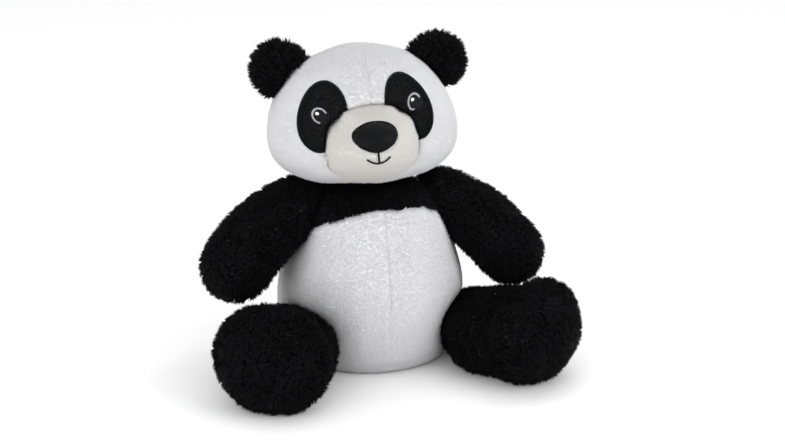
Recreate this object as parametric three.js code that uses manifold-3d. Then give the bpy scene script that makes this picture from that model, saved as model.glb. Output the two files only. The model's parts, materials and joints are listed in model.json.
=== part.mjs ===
// A seated plush panda, sewn from fabric panels over stuffing.
// Millimetres. +Z up, the panda faces -Y, its left side is +X.
// The origin is the middle of the flat seat panel, on the ground.
import * as THREE from "three";
import { mergeVertices } from "three/addons/utils/BufferGeometryUtils.js";
import Module from "manifold-3d";

const wasm = await Module();
wasm.setup();

// ---- Driving dimensions ----------------------------------------------------
const SKIN = 3; // plush fabric: backing and pressed pile
const GAP = 0.3; // between neighbouring panels and between skin and stuffing
const JOINT_CLEAR = 1.4; // around every ball-shaped limb end
const ROUND = 18; // facets round a large body
const ROUND_LIMB = 12; // facets round an arm or a leg
const ROUND_SMALL = 12; // facets round a small piece

const TORSO_WIDTH = 162;
const TORSO_HEIGHT = 155;
const TORSO_FRONT = 79; // belly ahead of the origin
const TORSO_BACK = 68;
const SEAT_WIDTH = 128; // flat oval on the ground
const SEAT_EDGE = 9; // the seat panel turns up this far
const YOKE_FRONT = 141; // height where the black yoke starts, middle of the front
const YOKE_ARCH = 64; // half height of the oval that its front edge follows
const YOKE_INSIDE = 1; // the oval is this much narrower than the torso, each side
const YOKE_SIDE = 116; // lowest place of the front edge, under the arms
const YOKE_BACK = 104; // and at the back

const HEAD_WIDTH = 162;
const HEAD_TOP = 73; // crown above the widest level
const HEAD_BOTTOM = 41; // chin below the widest level
const HEAD_FRONT = 68;
const HEAD_BACK = 64;
const HEAD_LOWER_POWER = 2.7; // roundness of the jaw
const HEAD_ROLL = 1.5; // degrees, crown towards the panda's right
const FACE_ROLL = 3.5; // degrees, the face is sewn on a little askew
const HEAD_SIDE = 8; // the head sits this far to the panda's right
const HEAD_YAW = -4; // degrees, face towards the panda's right
const HEAD_LEAN = 4; // the head sits this far ahead of the neck

const NECK_RADIUS = 20;
const NECK_LIFT = 3; // ball centre above the top of the torso
const NECK_SPACE = 3; // torso top to head bottom

const MUZZLE_WIDTH = 84;
const MUZZLE_HEIGHT = 68;
const MUZZLE_OUT = 20; // how far it stands out of the face
const MUZZLE_DROP = 3; // its middle against the widest level
const MUZZLE_ROOT = 40; // its open edge, ahead of the head's middle
const MUZZLE_SUNK = 26; // how far the dome goes on behind the face
const MUZZLE_SQUARENESS = 0.06; // share that its sides are drawn in, less at the corners
const NOSE_WIDTH = 36;
const NOSE_HEIGHT = 22;
const NOSE_THICK = 5;
const NOSE_UP = 13.5; // middle of the nose against the widest level
const NOSE_TAPER = 0.35; // share of the width that the lower end loses
const NOSE_WRAP = 0.8; // how far its sides follow the muzzle
const MOUTH_DROP = 9.5; // lowest point of the smile under the nose
const MOUTH_THREAD = 1.6;
const MOUTH_LAP = 1; // the line starts this far up under the nose
const SMILE_REACH = 9.2; // from the middle of the smile to its corner
const SMILE_RISE = 4.16; // height of the corners

const PATCH_WIDTH = 39;
const PATCH_HEIGHT = 58;
const PATCH_THICK = 1.6;
const PATCH_TILT = 20; // degrees, lower end outwards
const PATCH_OVER = 15; // the pair is spaced this much closer than the muzzle is wide
const PATCH_SIDE = 3; // the pair is sewn this far to the panda's right
const PATCH_DROP = 1; // its middle below the eye's
const PATCH_EGG = 0.08; // share that the lower end is wider by
const EYE_OVER = 8; // the pair is spaced this much closer than the muzzle is wide
const EYE_UP = 29; // above the widest level
const EYE_WIDTH = 15;
const EYE_THICK = 1.2;
const EYE_RING = 12;
const EYE_RING_THREAD = 1.5;
const EYE_SPARK = 2.6;
const EYE_SPARK_OFF = 1.56; // up and sideways from the middle of the eye

const EAR_RADIUS = 24;
const EAR_THICK = 22;
const EAR_SKIN = 2; // thinner fabric than the body's
const EAR_ANGLE = 50; // degrees from the crown
const EAR_OUT = 10; // ear centre outside the head
const EAR_BACK = 4; // the seam that holds the ears lies this far behind the head's middle
const EAR_FOLDS = 18; // degrees that an ear folds each way

const ARM_LENGTH = 79; // pivot to the middle of the paw
const ARM_BALL = 22;
const ARM_RADIUS = 26;
const PAW_RADIUS = 26;
const SHOULDER_RISE = 2; // top of the arm's ball above the lowest level of the head
const SHOULDER_ANGLE = 86; // degrees from straight ahead, round the torso
const SHOULDER_OUT = 5; // pivot outside the torso's side
const ARM_BEND = 7;
const ARM_OUT = 30; // degrees, swing ahead of straight sideways
const PAW_DROP = 2.376; // underside of the paw below the top of the leg
const ARM_LOWERS = 10; // degrees that the arm can swing down from there
const ARM_SET = { left: -2, right: 5 }; // degrees that each arm is held up from there

const LEG_LENGTH = 80; // pivot to the middle of the foot
const LEG_BALL = 30;
const LEG_FLATNESS = 0.78; // height of the leg against its width
const LEG_SAG = 0.55; // under 1, the underside spreads on the ground
const LEG_RADIUS = 45;
const ANKLE_RADIUS = 38;
const ANKLE_BACK = 23; // the round end of the leg lies this far behind the middle of the foot
const FOOT_WIDE = 47; // half width of the foot
const FOOT_HIGH = 44; // half height
const FOOT_DEPTH = 29; // half depth, heel to sole
const FOOT_TIP = 4; // degrees, toes lean outwards
const FOOT_SINK = 1; // the foot is flattened this much where it stands
const HIP_OUT = 9; // pivot outside the torso's side
const HIP_ANGLE = 65; // degrees from straight ahead, round the torso
const LEG_SPLAY = 19; // degrees from straight ahead
const FOOT_TURN = 34; // degrees from straight ahead
const LEG_CLOSES = 12; // degrees that the leg can swing inwards from there
const LEG_OPENS = 20; // and outwards
const LEG_SET = { left: 7, right: 0 }; // degrees that each leg is set outwards from there
const SOLE_IN = 9; // depth of the sole panel on the foot

const TAIL_BALL = 11;
const TAIL_RADIUS = 15;
const TAIL_LENGTH = 14;
const TAIL_RISE = 15; // degrees, it points a little upwards
const TAIL_HEIGHT = 34;
const TAIL_OUT = 3; // pivot outside the torso's back

const PELLET_HEIGHT = 26; // bean bag in the seat
const FOOT_PELLET_HEIGHT = 20;

// ---- Materials ---------------------------------------------------------------
const finish = (color, roughness) =>
  new THREE.MeshStandardMaterial({ color, roughness, metalness: 0 });
const WHITE_PLUSH = finish(0xececee, 0.9);
const BLACK_PLUSH = finish(0x131316, 0.95);
const CREAM_PLUSH = finish(0xe4dfd6, 0.9);
const BLACK_FELT = finish(0x101114, 0.85);
const BLACK_SATIN = finish(0x0c0d0f, 0.45);
const BLACK_THREAD = finish(0x15130f, 0.6);
const GREY_THREAD = finish(0xb9b9bd, 0.5);
const WHITE_THREAD = finish(0xf6f6f6, 0.5);
const STUFFING = finish(0xf4f4f0, 1.0);
const PELLET_CLOTH = finish(0xd9d6cc, 0.9);

// ---- Solids --------------------------------------------------------------------
const deg = THREE.MathUtils.degToRad;
const vec = (x, y, z) => new THREE.Vector3(x, y, z);

// A closed geometry as a solid; faces that collapse to a line at a pole are dropped.
function solid(geometry) {
  const bare = geometry.index ? geometry.toNonIndexed() : geometry.clone();
  bare.deleteAttribute("normal");
  bare.deleteAttribute("uv");
  const merged = mergeVertices(bare, 1e-3);
  const from = merged.index.array;
  const kept = [];
  for (let i = 0; i < from.length; i += 3) {
    const [a, b, c] = [from[i], from[i + 1], from[i + 2]];
    if (a !== b && b !== c && a !== c) kept.push(a, b, c);
  }
  const vertProperties = merged.attributes.position.array;
  const made = new wasm.Manifold(
    new wasm.Mesh({ numProp: 3, vertProperties, triVerts: new Uint32Array(kept) }),
  );
  if (made.volume() > 0) return made;
  const turned = kept.map((_, i) => kept[i - (i % 3) + 2 - (i % 3)]);
  return new wasm.Manifold(
    new wasm.Mesh({ numProp: 3, vertProperties, triVerts: new Uint32Array(turned) }),
  );
}

// A solid as a named mesh with its material.
function part(name, made, material) {
  const { vertProperties, triVerts } = made.getMesh();
  const geometry = new THREE.BufferGeometry()
    .setAttribute("position", new THREE.BufferAttribute(vertProperties, 3))
    .setIndex(new THREE.BufferAttribute(triVerts, 1));
  geometry.computeVertexNormals();
  const mesh = new THREE.Mesh(geometry, material);
  mesh.name = name;
  return mesh;
}

// A profile of [radius, height] points turned round the Z axis.
function turned(profile, facets = ROUND) {
  const points = profile.map(([r, h]) => new THREE.Vector2(Math.max(r, 0), h));
  return new THREE.LatheGeometry(points, facets).rotateX(Math.PI / 2);
}

function ball(radius, centre, facets = ROUND_SMALL) {
  const sphere = new THREE.SphereGeometry(radius, facets, Math.round(facets / 2));
  return solid(sphere.translate(centre.x, centre.y, centre.z));
}

const FAR = 600; // larger than the toy
// Everything on the positive side of a plane, given by a point and its normal.
function side(point, normal) {
  const half = new THREE.BoxGeometry(FAR, FAR, FAR).translate(0, 0, FAR / 2);
  const turn = new THREE.Quaternion().setFromUnitVectors(vec(0, 0, 1), normal.clone().normalize());
  return solid(half.applyQuaternion(turn).translate(point.x, point.y, point.z));
}

// The two halves of a solid on either side of a plane, with the seam gap between them.
function halves(made, point, normal) {
  const n = normal.clone().normalize();
  const shift = n.clone().multiplyScalar(GAP / 2);
  const front = side(point.clone().add(shift), n);
  const back = side(point.clone().sub(shift), n.clone().negate());
  return [made.intersect(front), made.intersect(back)];
}

// Moves every vertex of a geometry by a function of its place.
function warped(geometry, move) {
  const at = geometry.getAttribute("position");
  const p = vec(0, 0, 0);
  for (let i = 0; i < at.count; i++) {
    p.fromBufferAttribute(at, i);
    move(p);
    at.setXYZ(i, p.x, p.y, p.z);
  }
  return geometry;
}

// A quarter of a rounded outline: radius at a share t of the height.
const bulge = (t, power) => Math.pow(Math.max(0, 1 - Math.pow(t, power)), 1 / power);

// ---- Torso -------------------------------------------------------------------
// Share of the height and share of the full half width, from the seat to the neck.
const TORSO_OUTLINE = new THREE.SplineCurve(
  [
    [0, SEAT_WIDTH / TORSO_WIDTH],
    [0.08, 0.91],
    [0.2, 0.985],
    [0.36, 1],
    [0.53, 0.94],
    [0.7, 0.83],
    [0.83, 0.755],
    [0.92, 0.64],
    [0.975, 0.42],
    [1, 0],
  ].map(([height, width]) => new THREE.Vector2(height, width)),
).getPoints(90);

// Half width of the torso at a height above the ground.
function torsoHalfWidth(z) {
  const share = THREE.MathUtils.clamp(z / TORSO_HEIGHT, 0, 1);
  const next = Math.max(1, TORSO_OUTLINE.findIndex((p) => p.x >= share));
  const [low, high] = [TORSO_OUTLINE[next - 1], TORSO_OUTLINE[next]];
  const between = (share - low.x) / (high.x - low.x);
  return (TORSO_WIDTH / 2) * THREE.MathUtils.lerp(low.y, high.y, between);
}

function torsoShape(inset) {
  const low = inset;
  const high = TORSO_HEIGHT - inset;
  const profile = [[0, low]];
  const steps = 10;
  for (let i = 0; i <= steps; i++) {
    const t = 0.5 - 0.5 * Math.cos((Math.PI * i) / steps);
    const z = low + (high - low) * t;
    profile.push([Math.max(0, torsoHalfWidth((TORSO_HEIGHT * (z - low)) / (high - low)) - inset), z]);
  }
  profile[profile.length - 1][0] = 0;
  const wide = TORSO_WIDTH / 2 - inset;
  return solid(
    warped(turned(profile), (p) => {
      p.y *= ((p.y < 0 ? TORSO_FRONT : TORSO_BACK) - inset) / wide;
    }),
  );
}

// A point on the torso's side at a height and an angle from straight ahead, moved outwards.
function torsoSide(z, angle, out) {
  const share = torsoHalfWidth(z) / (TORSO_WIDTH / 2);
  const x = share * (TORSO_WIDTH / 2) * Math.sin(angle);
  const y = -share * TORSO_FRONT * Math.cos(angle);
  const r = Math.hypot(x, y);
  return vec((x * (r + out)) / r, (y * (r + out)) / r, z);
}

const NECK = vec(0, 0, TORSO_HEIGHT + NECK_LIFT);
const SHOULDER_HEIGHT = TORSO_HEIGHT + NECK_SPACE + SHOULDER_RISE - ARM_BALL;
const SHOULDER = torsoSide(SHOULDER_HEIGHT, deg(SHOULDER_ANGLE), SHOULDER_OUT);
const HIP = torsoSide(LEG_RADIUS * LEG_FLATNESS, deg(HIP_ANGLE), HIP_OUT);
const TAIL = vec(
  0,
  (TORSO_BACK * torsoHalfWidth(TAIL_HEIGHT)) / (TORSO_WIDTH / 2) + TAIL_OUT,
  TAIL_HEIGHT,
);
const PAW_HEIGHT = 2 * LEG_RADIUS * LEG_FLATNESS + PAW_RADIUS - PAW_DROP;
const ARM_DOWN = Math.asin((SHOULDER_HEIGHT - PAW_HEIGHT) / ARM_LENGTH); // below level
const mirrored = (p, sign) => vec(p.x * sign, p.y, p.z);

// A solid turned about an axis through a point.
function swung(made, pivot, axis, degrees) {
  const turn = new THREE.Matrix4().makeRotationAxis(axis.clone().normalize(), deg(degrees));
  const there = new THREE.Matrix4().makeTranslation(pivot.x, pivot.y, pivot.z);
  const back = new THREE.Matrix4().makeTranslation(-pivot.x, -pivot.y, -pivot.z);
  return made.transform(there.multiply(turn).multiply(back).elements);
}

// The hollows in the torso that the limb ends and the tail turn in.
function jointRooms(spare) {
  let rooms = ball(TAIL_BALL + spare, TAIL);
  for (const sign of [1, -1]) {
    const [shoulder, hip] = [mirrored(SHOULDER, sign), mirrored(HIP, sign)];
    const arm = armShape(sign, -spare);
    const leg = thighShape(sign, -spare);
    rooms = rooms.add(ball(ARM_BALL + spare, shoulder));
    rooms = rooms.add(swung(arm, shoulder, armHinge(sign), -ARM_LOWERS));
    for (const angle of [LEG_OPENS, (LEG_OPENS - LEG_CLOSES) / 2, -LEG_CLOSES]) {
      rooms = rooms.add(swung(leg, hip, vec(0, 0, sign), angle));
    }
  }
  return rooms;
}

// Everything below the arched front edge of the yoke, grown by `grow`.
function belowYoke(grow) {
  const wide = TORSO_WIDTH / 2 - YOKE_INSIDE + grow;
  const high = YOKE_ARCH + grow;
  const oval = new THREE.CylinderGeometry(1, 1, FAR, 4 * ROUND)
    .scale(wide, 1, high)
    .translate(0, 0, YOKE_FRONT - YOKE_ARCH);
  return solid(oval).add(side(vec(0, 0, YOKE_SIDE + grow), vec(0, 0, -1)));
}

function torsoParts() {
  const neckOpening = ball(NECK_RADIUS + JOINT_CLEAR, NECK);
  const outer = torsoShape(0).subtract(jointRooms(JOINT_CLEAR)).subtract(neckOpening);
  const skin = outer.subtract(torsoShape(SKIN).subtract(jointRooms(JOINT_CLEAR + SKIN)));
  const [upper, seat] = halves(skin, vec(0, 0, SEAT_EDGE), vec(0, 0, 1));
  const [front, back] = halves(upper, vec(0, 0, 0), vec(0, -1, 0));
  const chest = front.subtract(belowYoke(GAP / 2));
  const belly = front.intersect(belowYoke(-GAP / 2));
  const [upperBack, lowerBack] = halves(back, vec(0, 0, YOKE_BACK), vec(0, 0, 1));
  const [bellyLeft, bellyRight] = halves(belly, vec(0, 0, 0), vec(1, 0, 0));
  const [backLeft, backRight] = halves(lowerBack, vec(0, 0, 0), vec(1, 0, 0));
  const filling = torsoShape(SKIN + GAP)
    .subtract(jointRooms(JOINT_CLEAR + SKIN + GAP))
    .subtract(neckOpening);
  const [stuffing, pellets] = halves(filling, vec(0, 0, PELLET_HEIGHT), vec(0, 0, 1));
  return [
    part("seat_panel", seat, WHITE_PLUSH),
    part("belly_panel_left", bellyLeft, WHITE_PLUSH),
    part("belly_panel_right", bellyRight, WHITE_PLUSH),
    part("chest_panel", chest, BLACK_PLUSH),
    part("upper_back_panel", upperBack, BLACK_PLUSH),
    part("lower_back_panel_left", backLeft, WHITE_PLUSH),
    part("lower_back_panel_right", backRight, WHITE_PLUSH),
    part("torso_stuffing", stuffing, STUFFING),
    part("seat_pellet_bag", pellets, PELLET_CLOTH),
  ];
}

// ---- Head ----------------------------------------------------------------------
// The head is shaped about the middle of its widest level, then set down on the neck.
const HEAD = vec(-HEAD_SIDE, -HEAD_LEAN, TORSO_HEIGHT + NECK_SPACE + HEAD_BOTTOM);
const headTurn = new THREE.Matrix4()
  .makeTranslation(HEAD.x, HEAD.y, HEAD.z)
  .multiply(new THREE.Matrix4().makeRotationZ(deg(HEAD_YAW)))
  .multiply(new THREE.Matrix4().makeRotationY(deg(-HEAD_ROLL)));
const placed = (made) => made.transform(headTurn.elements);
const inHead = (p) => p.clone().applyMatrix4(headTurn.clone().invert());

function headHalfWidth(z) {
  const full = HEAD_WIDTH / 2;
  if (z > 0) return full * bulge(Math.min(1, z / HEAD_TOP), 2);
  return full * bulge(Math.min(1, -z / HEAD_BOTTOM), HEAD_LOWER_POWER);
}

function headShape(inset) {
  const profile = [];
  const steps = 12;
  for (let i = 0; i <= steps; i++) {
    const angle = -Math.PI / 2 + (Math.PI * i) / steps;
    const z = Math.sin(angle) * (angle > 0 ? HEAD_TOP : HEAD_BOTTOM);
    const share = 1 - inset / (angle > 0 ? HEAD_TOP : HEAD_BOTTOM);
    const radius = headHalfWidth(z);
    profile.push([i % steps ? radius * (1 - (2 * inset) / HEAD_WIDTH) : 0, z * share]);
  }
  const wide = HEAD_WIDTH / 2 - inset;
  return solid(
    warped(turned(profile, ROUND), (p) => {
      p.y *= ((p.y < 0 ? HEAD_FRONT : HEAD_BACK) - inset) / wide;
    }),
  );
}

// How far ahead of the head's middle its front stands at a place on the face, moved outwards.
function faceDepth(x, z, out) {
  const share = Math.min(1, Math.abs(x) / headHalfWidth(z));
  const level = headHalfWidth(z) / (HEAD_WIDTH / 2);
  return -(HEAD_FRONT * level * Math.sqrt(1 - share * share) + out);
}

// The rounded muzzle: a dome that stands out of the face, thicker by `grow`.
const MUZZLE_FRONT = faceDepth(0, MUZZLE_DROP, MUZZLE_OUT);
function muzzleShape(grow) {
  const dome = new THREE.SphereGeometry(1, ROUND_LIMB, 12);
  const depth = MUZZLE_OUT + MUZZLE_SUNK;
  return solid(
    warped(dome, (p) => {
      const squareness = 1 - MUZZLE_SQUARENESS * (1 - 4 * Math.abs(p.x) * Math.abs(p.z));
      p.x *= (MUZZLE_WIDTH / 2 + grow) * squareness;
      p.z *= (MUZZLE_HEIGHT / 2 + grow) * squareness;
      p.y *= depth + grow;
      p.y += MUZZLE_FRONT + depth;
      p.z += MUZZLE_DROP;
    }),
  );
}

// How far ahead of the head's middle the muzzle stands at a place on it.
function muzzleDepth(x, z) {
  const depth = MUZZLE_OUT + MUZZLE_SUNK;
  const across = (2 * x) / MUZZLE_WIDTH;
  const up = (2 * (z - MUZZLE_DROP)) / MUZZLE_HEIGHT;
  const left = Math.max(0, 1 - across * across - up * up);
  return MUZZLE_FRONT + depth - depth * Math.sqrt(left);
}

// A flat outline in the face's plane, pulled straight through the head along Y.
function cutter(outline, near, far) {
  const shape = new THREE.Shape(outline);
  const plate = new THREE.ExtrudeGeometry(shape, { depth: far - near, bevelEnabled: false });
  return solid(plate.rotateX(Math.PI / 2).translate(0, far, 0));
}

function ovalOutline(width, height, x, z, tilt, egg, count) {
  const points = [];
  for (let i = 0; i < count; i++) {
    const a = (2 * Math.PI * i) / count;
    const across = (width / 2) * Math.cos(a) * (1 - egg * Math.sin(a));
    const up = (height / 2) * Math.sin(a);
    points.push(
      new THREE.Vector2(
        x + across * Math.cos(tilt) - up * Math.sin(tilt),
        z + across * Math.sin(tilt) + up * Math.cos(tilt),
      ),
    );
  }
  return points;
}

// Outlines and solids of the face, turned a little askew on the head.
const askew = (made) => made.transform(new THREE.Matrix4().makeRotationY(deg(-FACE_ROLL)).elements);
const askewOutline = (outline) =>
  outline.map((p) => p.clone().rotateAround(new THREE.Vector2(), deg(FACE_ROLL)));

// A sheet lying on the face inside an outline, clear of the head's skin.
function faceSheet(outline, from, thick) {
  const column = cutter(askewOutline(outline), -2 * HEAD_FRONT, -HEAD_FRONT * 0.2);
  return headShape(-(from + thick)).subtract(headShape(-from)).intersect(column);
}

function patchOutline(sign) {
  const middle = EYE_UP - PATCH_DROP;
  const x = (sign * (MUZZLE_WIDTH - PATCH_OVER)) / 2 - PATCH_SIDE;
  const tilt = deg(PATCH_TILT) * sign;
  return ovalOutline(PATCH_WIDTH, PATCH_HEIGHT, x, middle, tilt, PATCH_EGG, 22);
}

function eyeParts(sign, sideName) {
  const x = (sign * (MUZZLE_WIDTH - EYE_OVER)) / 2 - PATCH_SIDE;
  const disc = (width) => ovalOutline(width, width, x, EYE_UP, 0, 0, 14);
  const under = GAP + PATCH_THICK + GAP;
  const over = under + EYE_THICK + GAP;
  const pupil = faceSheet(disc(EYE_WIDTH), under, EYE_THICK);
  const hole = cutter(askewOutline(disc(EYE_RING - 2 * EYE_RING_THREAD)), -2 * HEAD_FRONT, 0);
  const wedge = [
    new THREE.Vector2(x, EYE_UP),
    new THREE.Vector2(x, EYE_UP - EYE_RING),
    new THREE.Vector2(x + EYE_RING, EYE_UP - EYE_RING),
    new THREE.Vector2(x + EYE_RING, EYE_UP + EYE_RING / 3),
  ];
  const open = cutter(askewOutline(wedge), -2 * HEAD_FRONT, 0);
  const ring = faceSheet(disc(EYE_RING), over, EYE_THICK / 2).subtract(hole).subtract(open);
  const [sparkX, sparkZ] = [x - EYE_SPARK_OFF, EYE_UP + EYE_SPARK_OFF];
  const sparkOutline = ovalOutline(EYE_SPARK, EYE_SPARK, sparkX, sparkZ, 0, 0, 10);
  const spark = faceSheet(sparkOutline, over, EYE_THICK / 2);
  return [
    part("eye_" + sideName, placed(pupil), BLACK_THREAD),
    part("eye_ring_" + sideName, placed(ring), GREY_THREAD),
    part("eye_spark_" + sideName, placed(spark), WHITE_THREAD),
  ];
}

function noseShape(grow) {
  const round = new THREE.SphereGeometry(1, ROUND_LIMB, 8);
  return solid(
    warped(round, (p) => {
      const low = p.z < 0 ? 1 - NOSE_TAPER * p.z * p.z : 1;
      p.x *= (NOSE_WIDTH / 2 + grow) * low;
      p.z *= NOSE_HEIGHT / 2 + grow;
      p.z += NOSE_UP;
      p.y = p.y * (NOSE_THICK + grow) + muzzleDepth(p.x * NOSE_WRAP, p.z);
    }),
  );
}

// A round thread laid along points on the muzzle.
function thread(points, width, sides = 4) {
  const curve = new THREE.CatmullRomCurve3(points);
  const ring = new THREE.Shape();
  ring.absarc(0, 0, width / 2, 0, 2 * Math.PI, false);
  const geometry = new THREE.ExtrudeGeometry(ring, {
    extrudePath: curve,
    steps: points.length * 2,
    curveSegments: sides,
  });
  return solid(geometry);
}

function mouthShape() {
  const top = NOSE_UP - NOSE_HEIGHT / 2 + MOUTH_LAP;
  const low = top - MOUTH_DROP;
  const onMuzzle = (x, z) => vec(x, muzzleDepth(x, z) - MOUTH_THREAD / 2 - GAP, z);
  const foot = low - MOUTH_THREAD / 4;
  const line = thread([top, (top + low) / 2, foot].map((z) => onMuzzle(0, z)), MOUTH_THREAD);
  const smile = [];
  const steps = 4;
  for (let i = -steps; i <= steps; i++) {
    const share = i / steps;
    smile.push(onMuzzle(share * SMILE_REACH, low + SMILE_RISE * share * share));
  }
  return line.add(thread(smile, MOUTH_THREAD));
}

function headParts() {
  const muzzleRoom = askew(muzzleShape(GAP));
  const noseRoom = askew(noseShape(GAP));
  const openings = ball(NECK_RADIUS + JOINT_CLEAR, inHead(NECK)).add(muzzleRoom).add(noseRoom);
  const skin = headShape(0).subtract(headShape(SKIN)).subtract(openings);
  const [face, back] = halves(skin, vec(0, EAR_BACK, 0), vec(0, -1, 0));
  const [faceLeft, faceRight] = halves(face, vec(0, 0, 0), vec(1, 0, 0));
  const filling = headShape(SKIN + GAP).subtract(openings);
  const ahead = side(vec(0, -MUZZLE_ROOT, 0), vec(0, -1, 0));
  const muzzleSkin = askew(muzzleShape(0).subtract(muzzleShape(-SKIN)).intersect(ahead));
  const muzzleFill = askew(muzzleShape(-SKIN - GAP).intersect(ahead));
  const made = [
    part("head_panel_left", placed(faceLeft), WHITE_PLUSH),
    part("head_panel_right", placed(faceRight), WHITE_PLUSH),
    part("head_back_panel", placed(back), WHITE_PLUSH),
    part("head_stuffing", placed(filling), STUFFING),
    part("muzzle_panel", placed(muzzleSkin.subtract(noseRoom)), CREAM_PLUSH),
    part("muzzle_stuffing", placed(muzzleFill.subtract(noseRoom)), STUFFING),
    part("nose_pad", placed(askew(noseShape(0))), BLACK_SATIN),
    part("mouth_stitches", placed(askew(mouthShape()).subtract(noseRoom)), BLACK_THREAD),
  ];
  for (const [sign, sideName] of [[1, "left"], [-1, "right"]]) {
    const patch = faceSheet(patchOutline(sign), GAP, PATCH_THICK).subtract(muzzleRoom);
    made.push(part("eye_patch_" + sideName, placed(patch), BLACK_FELT));
    made.push(...eyeParts(sign, sideName));
  }
  return made;
}

// ---- Ears -------------------------------------------------------------------------

function earParts(sign, sideName) {
  const angle = deg(EAR_ANGLE);
  const along = vec(sign * Math.sin(angle), 0, Math.cos(angle));
  const rim = 1 / Math.hypot((2 * along.x) / HEAD_WIDTH, along.z / HEAD_TOP);
  const middle = along.clone().multiplyScalar(rim + EAR_OUT).setY(EAR_BACK);
  const lens = (inset) =>
    solid(
      new THREE.SphereGeometry(1, ROUND_LIMB, ROUND_SMALL)
        .scale(EAR_RADIUS - inset, EAR_THICK / 2 - inset, EAR_RADIUS - inset)
        .translate(middle.x, middle.y, middle.z),
    );
  const root = along.clone().multiplyScalar(rim).setY(EAR_BACK);
  const hinge = vec(sign * Math.cos(angle), 0, -Math.sin(angle));
  const head = headShape(-JOINT_CLEAR);
  const room = head.add(swung(head, root, hinge, EAR_FOLDS)).add(swung(head, root, hinge, -EAR_FOLDS));
  const shell = lens(0).subtract(lens(EAR_SKIN)).subtract(room);
  const [front, back] = halves(shell, middle, vec(0, -1, 0));
  return [
    part("ear_front_" + sideName, placed(front), BLACK_PLUSH),
    part("ear_back_" + sideName, placed(back), BLACK_PLUSH),
  ];
}

// ---- Limbs ------------------------------------------------------------------------
// A limb turned along +Z from its pivot, then laid along a curve that starts at the pivot.
function alongCurve(geometry, curve, length) {
  const up = vec(0, 0, 1);
  return warped(geometry, (p) => {
    const share = THREE.MathUtils.clamp(p.z / length, 0, 1);
    const rest = p.z - share * length;
    const tangent = curve.getTangent(share);
    const across = up.clone().cross(tangent).normalize();
    const over = tangent.clone().cross(across);
    const at = curve.getPoint(share).addScaledVector(tangent, rest);
    p.copy(at.addScaledVector(across, p.x).addScaledVector(over, p.y));
  });
}

// The outline of a limb: a ball at the pivot, a tube that swells, a round end.
function limbProfile(ballRadius, tubeRadius, endRadius, length, inset) {
  const profile = [];
  const quarter = 3;
  for (let i = 0; i <= quarter; i++) {
    const a = (Math.PI / 2) * (i / quarter);
    profile.push([(ballRadius - inset) * Math.sin(a), -(ballRadius - inset) * Math.cos(a)]);
  }
  const swell = [
    [0.2, ballRadius + (tubeRadius - ballRadius) * 0.35],
    [0.4, ballRadius + (tubeRadius - ballRadius) * 0.8],
    [0.6, tubeRadius],
    [0.8, (tubeRadius + endRadius) / 2],
  ];
  for (const [share, radius] of swell) profile.push([radius - inset, length * share]);
  for (let i = 0; i <= quarter; i++) {
    const a = (Math.PI / 2) * (i / quarter);
    profile.push([(endRadius - inset) * Math.cos(a), length + (endRadius - inset) * Math.sin(a)]);
  }
  profile[0][0] = 0;
  profile[profile.length - 1][0] = 0;
  return profile;
}

function armAim(sign) {
  const flat = Math.cos(ARM_DOWN);
  return vec(
    sign * flat * Math.cos(deg(ARM_OUT)),
    -flat * Math.sin(deg(ARM_OUT)),
    -Math.sin(ARM_DOWN),
  );
}

// Level axis across the arm; a turn by a positive angle raises the paw.
const armHinge = (sign) => armAim(sign).cross(vec(0, 0, 1));

function armShape(sign, inset) {
  const start = mirrored(SHOULDER, sign);
  const end = start.clone().addScaledVector(armAim(sign), ARM_LENGTH);
  const knee = start.clone().add(end).multiplyScalar(0.5).add(vec(sign * ARM_BEND, 0, ARM_BEND));
  const curve = new THREE.QuadraticBezierCurve3(start, knee, end);
  const profile = limbProfile(ARM_BALL, ARM_RADIUS, PAW_RADIUS, ARM_LENGTH, inset);
  return solid(alongCurve(turned(profile, ROUND_LIMB), curve, ARM_LENGTH));
}

function armParts(sign, sideName) {
  const skin = armShape(sign, 0).subtract(armShape(sign, SKIN));
  const start = mirrored(SHOULDER, sign);
  const forward = armHinge(sign).multiplyScalar(sign);
  const [front, back] = halves(skin, start, forward);
  const held = (made) => swung(made, start, armHinge(sign), ARM_SET[sideName]);
  return [
    part("arm_front_panel_" + sideName, held(front), BLACK_PLUSH),
    part("arm_back_panel_" + sideName, held(back), BLACK_PLUSH),
    part("arm_stuffing_" + sideName, held(armShape(sign, SKIN + GAP)), STUFFING),
  ];
}

const legAim = (sign) => vec(sign * Math.sin(deg(LEG_SPLAY)), -Math.cos(deg(LEG_SPLAY)), 0);

function footCentre(sign) {
  const hip = mirrored(HIP, sign);
  return hip.addScaledVector(legAim(sign), LEG_LENGTH).setZ(FOOT_HIGH);
}

// The leg without its foot: a tube pressed flatter than it is wide, so it still turns on a round hip.
function thighShape(sign, inset) {
  const hip = mirrored(HIP, sign);
  const length = LEG_LENGTH - ANKLE_BACK;
  const heel = hip.clone().addScaledVector(legAim(sign), length);
  const curve = new THREE.LineCurve3(hip, heel);
  const profile = limbProfile(LEG_BALL, LEG_RADIUS, ANKLE_RADIUS, length, inset);
  const wide = LEG_RADIUS - inset;
  const high = LEG_RADIUS * LEG_FLATNESS - inset;
  return solid(
    warped(alongCurve(turned(profile, ROUND_LIMB), curve, length), (p) => {
      const share = (p.z - hip.z) / wide;
      p.z = hip.z + high * (share > 0 ? share : -Math.pow(-share, LEG_SAG));
    }),
  );
}

function legShape(sign, inset) {
  const foot = new THREE.SphereGeometry(1, ROUND_LIMB + 2, ROUND_SMALL)
    .scale(FOOT_WIDE - inset, FOOT_DEPTH - inset, FOOT_HIGH - inset)
    .rotateX(deg(FOOT_TIP))
    .rotateZ(deg(FOOT_TURN) * sign);
  const at = footCentre(sign);
  const ground = side(vec(0, 0, inset), vec(0, 0, 1));
  const whole = thighShape(sign, inset).add(solid(foot.translate(at.x, at.y, at.z - FOOT_SINK)));
  return whole.intersect(ground);
}

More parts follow.
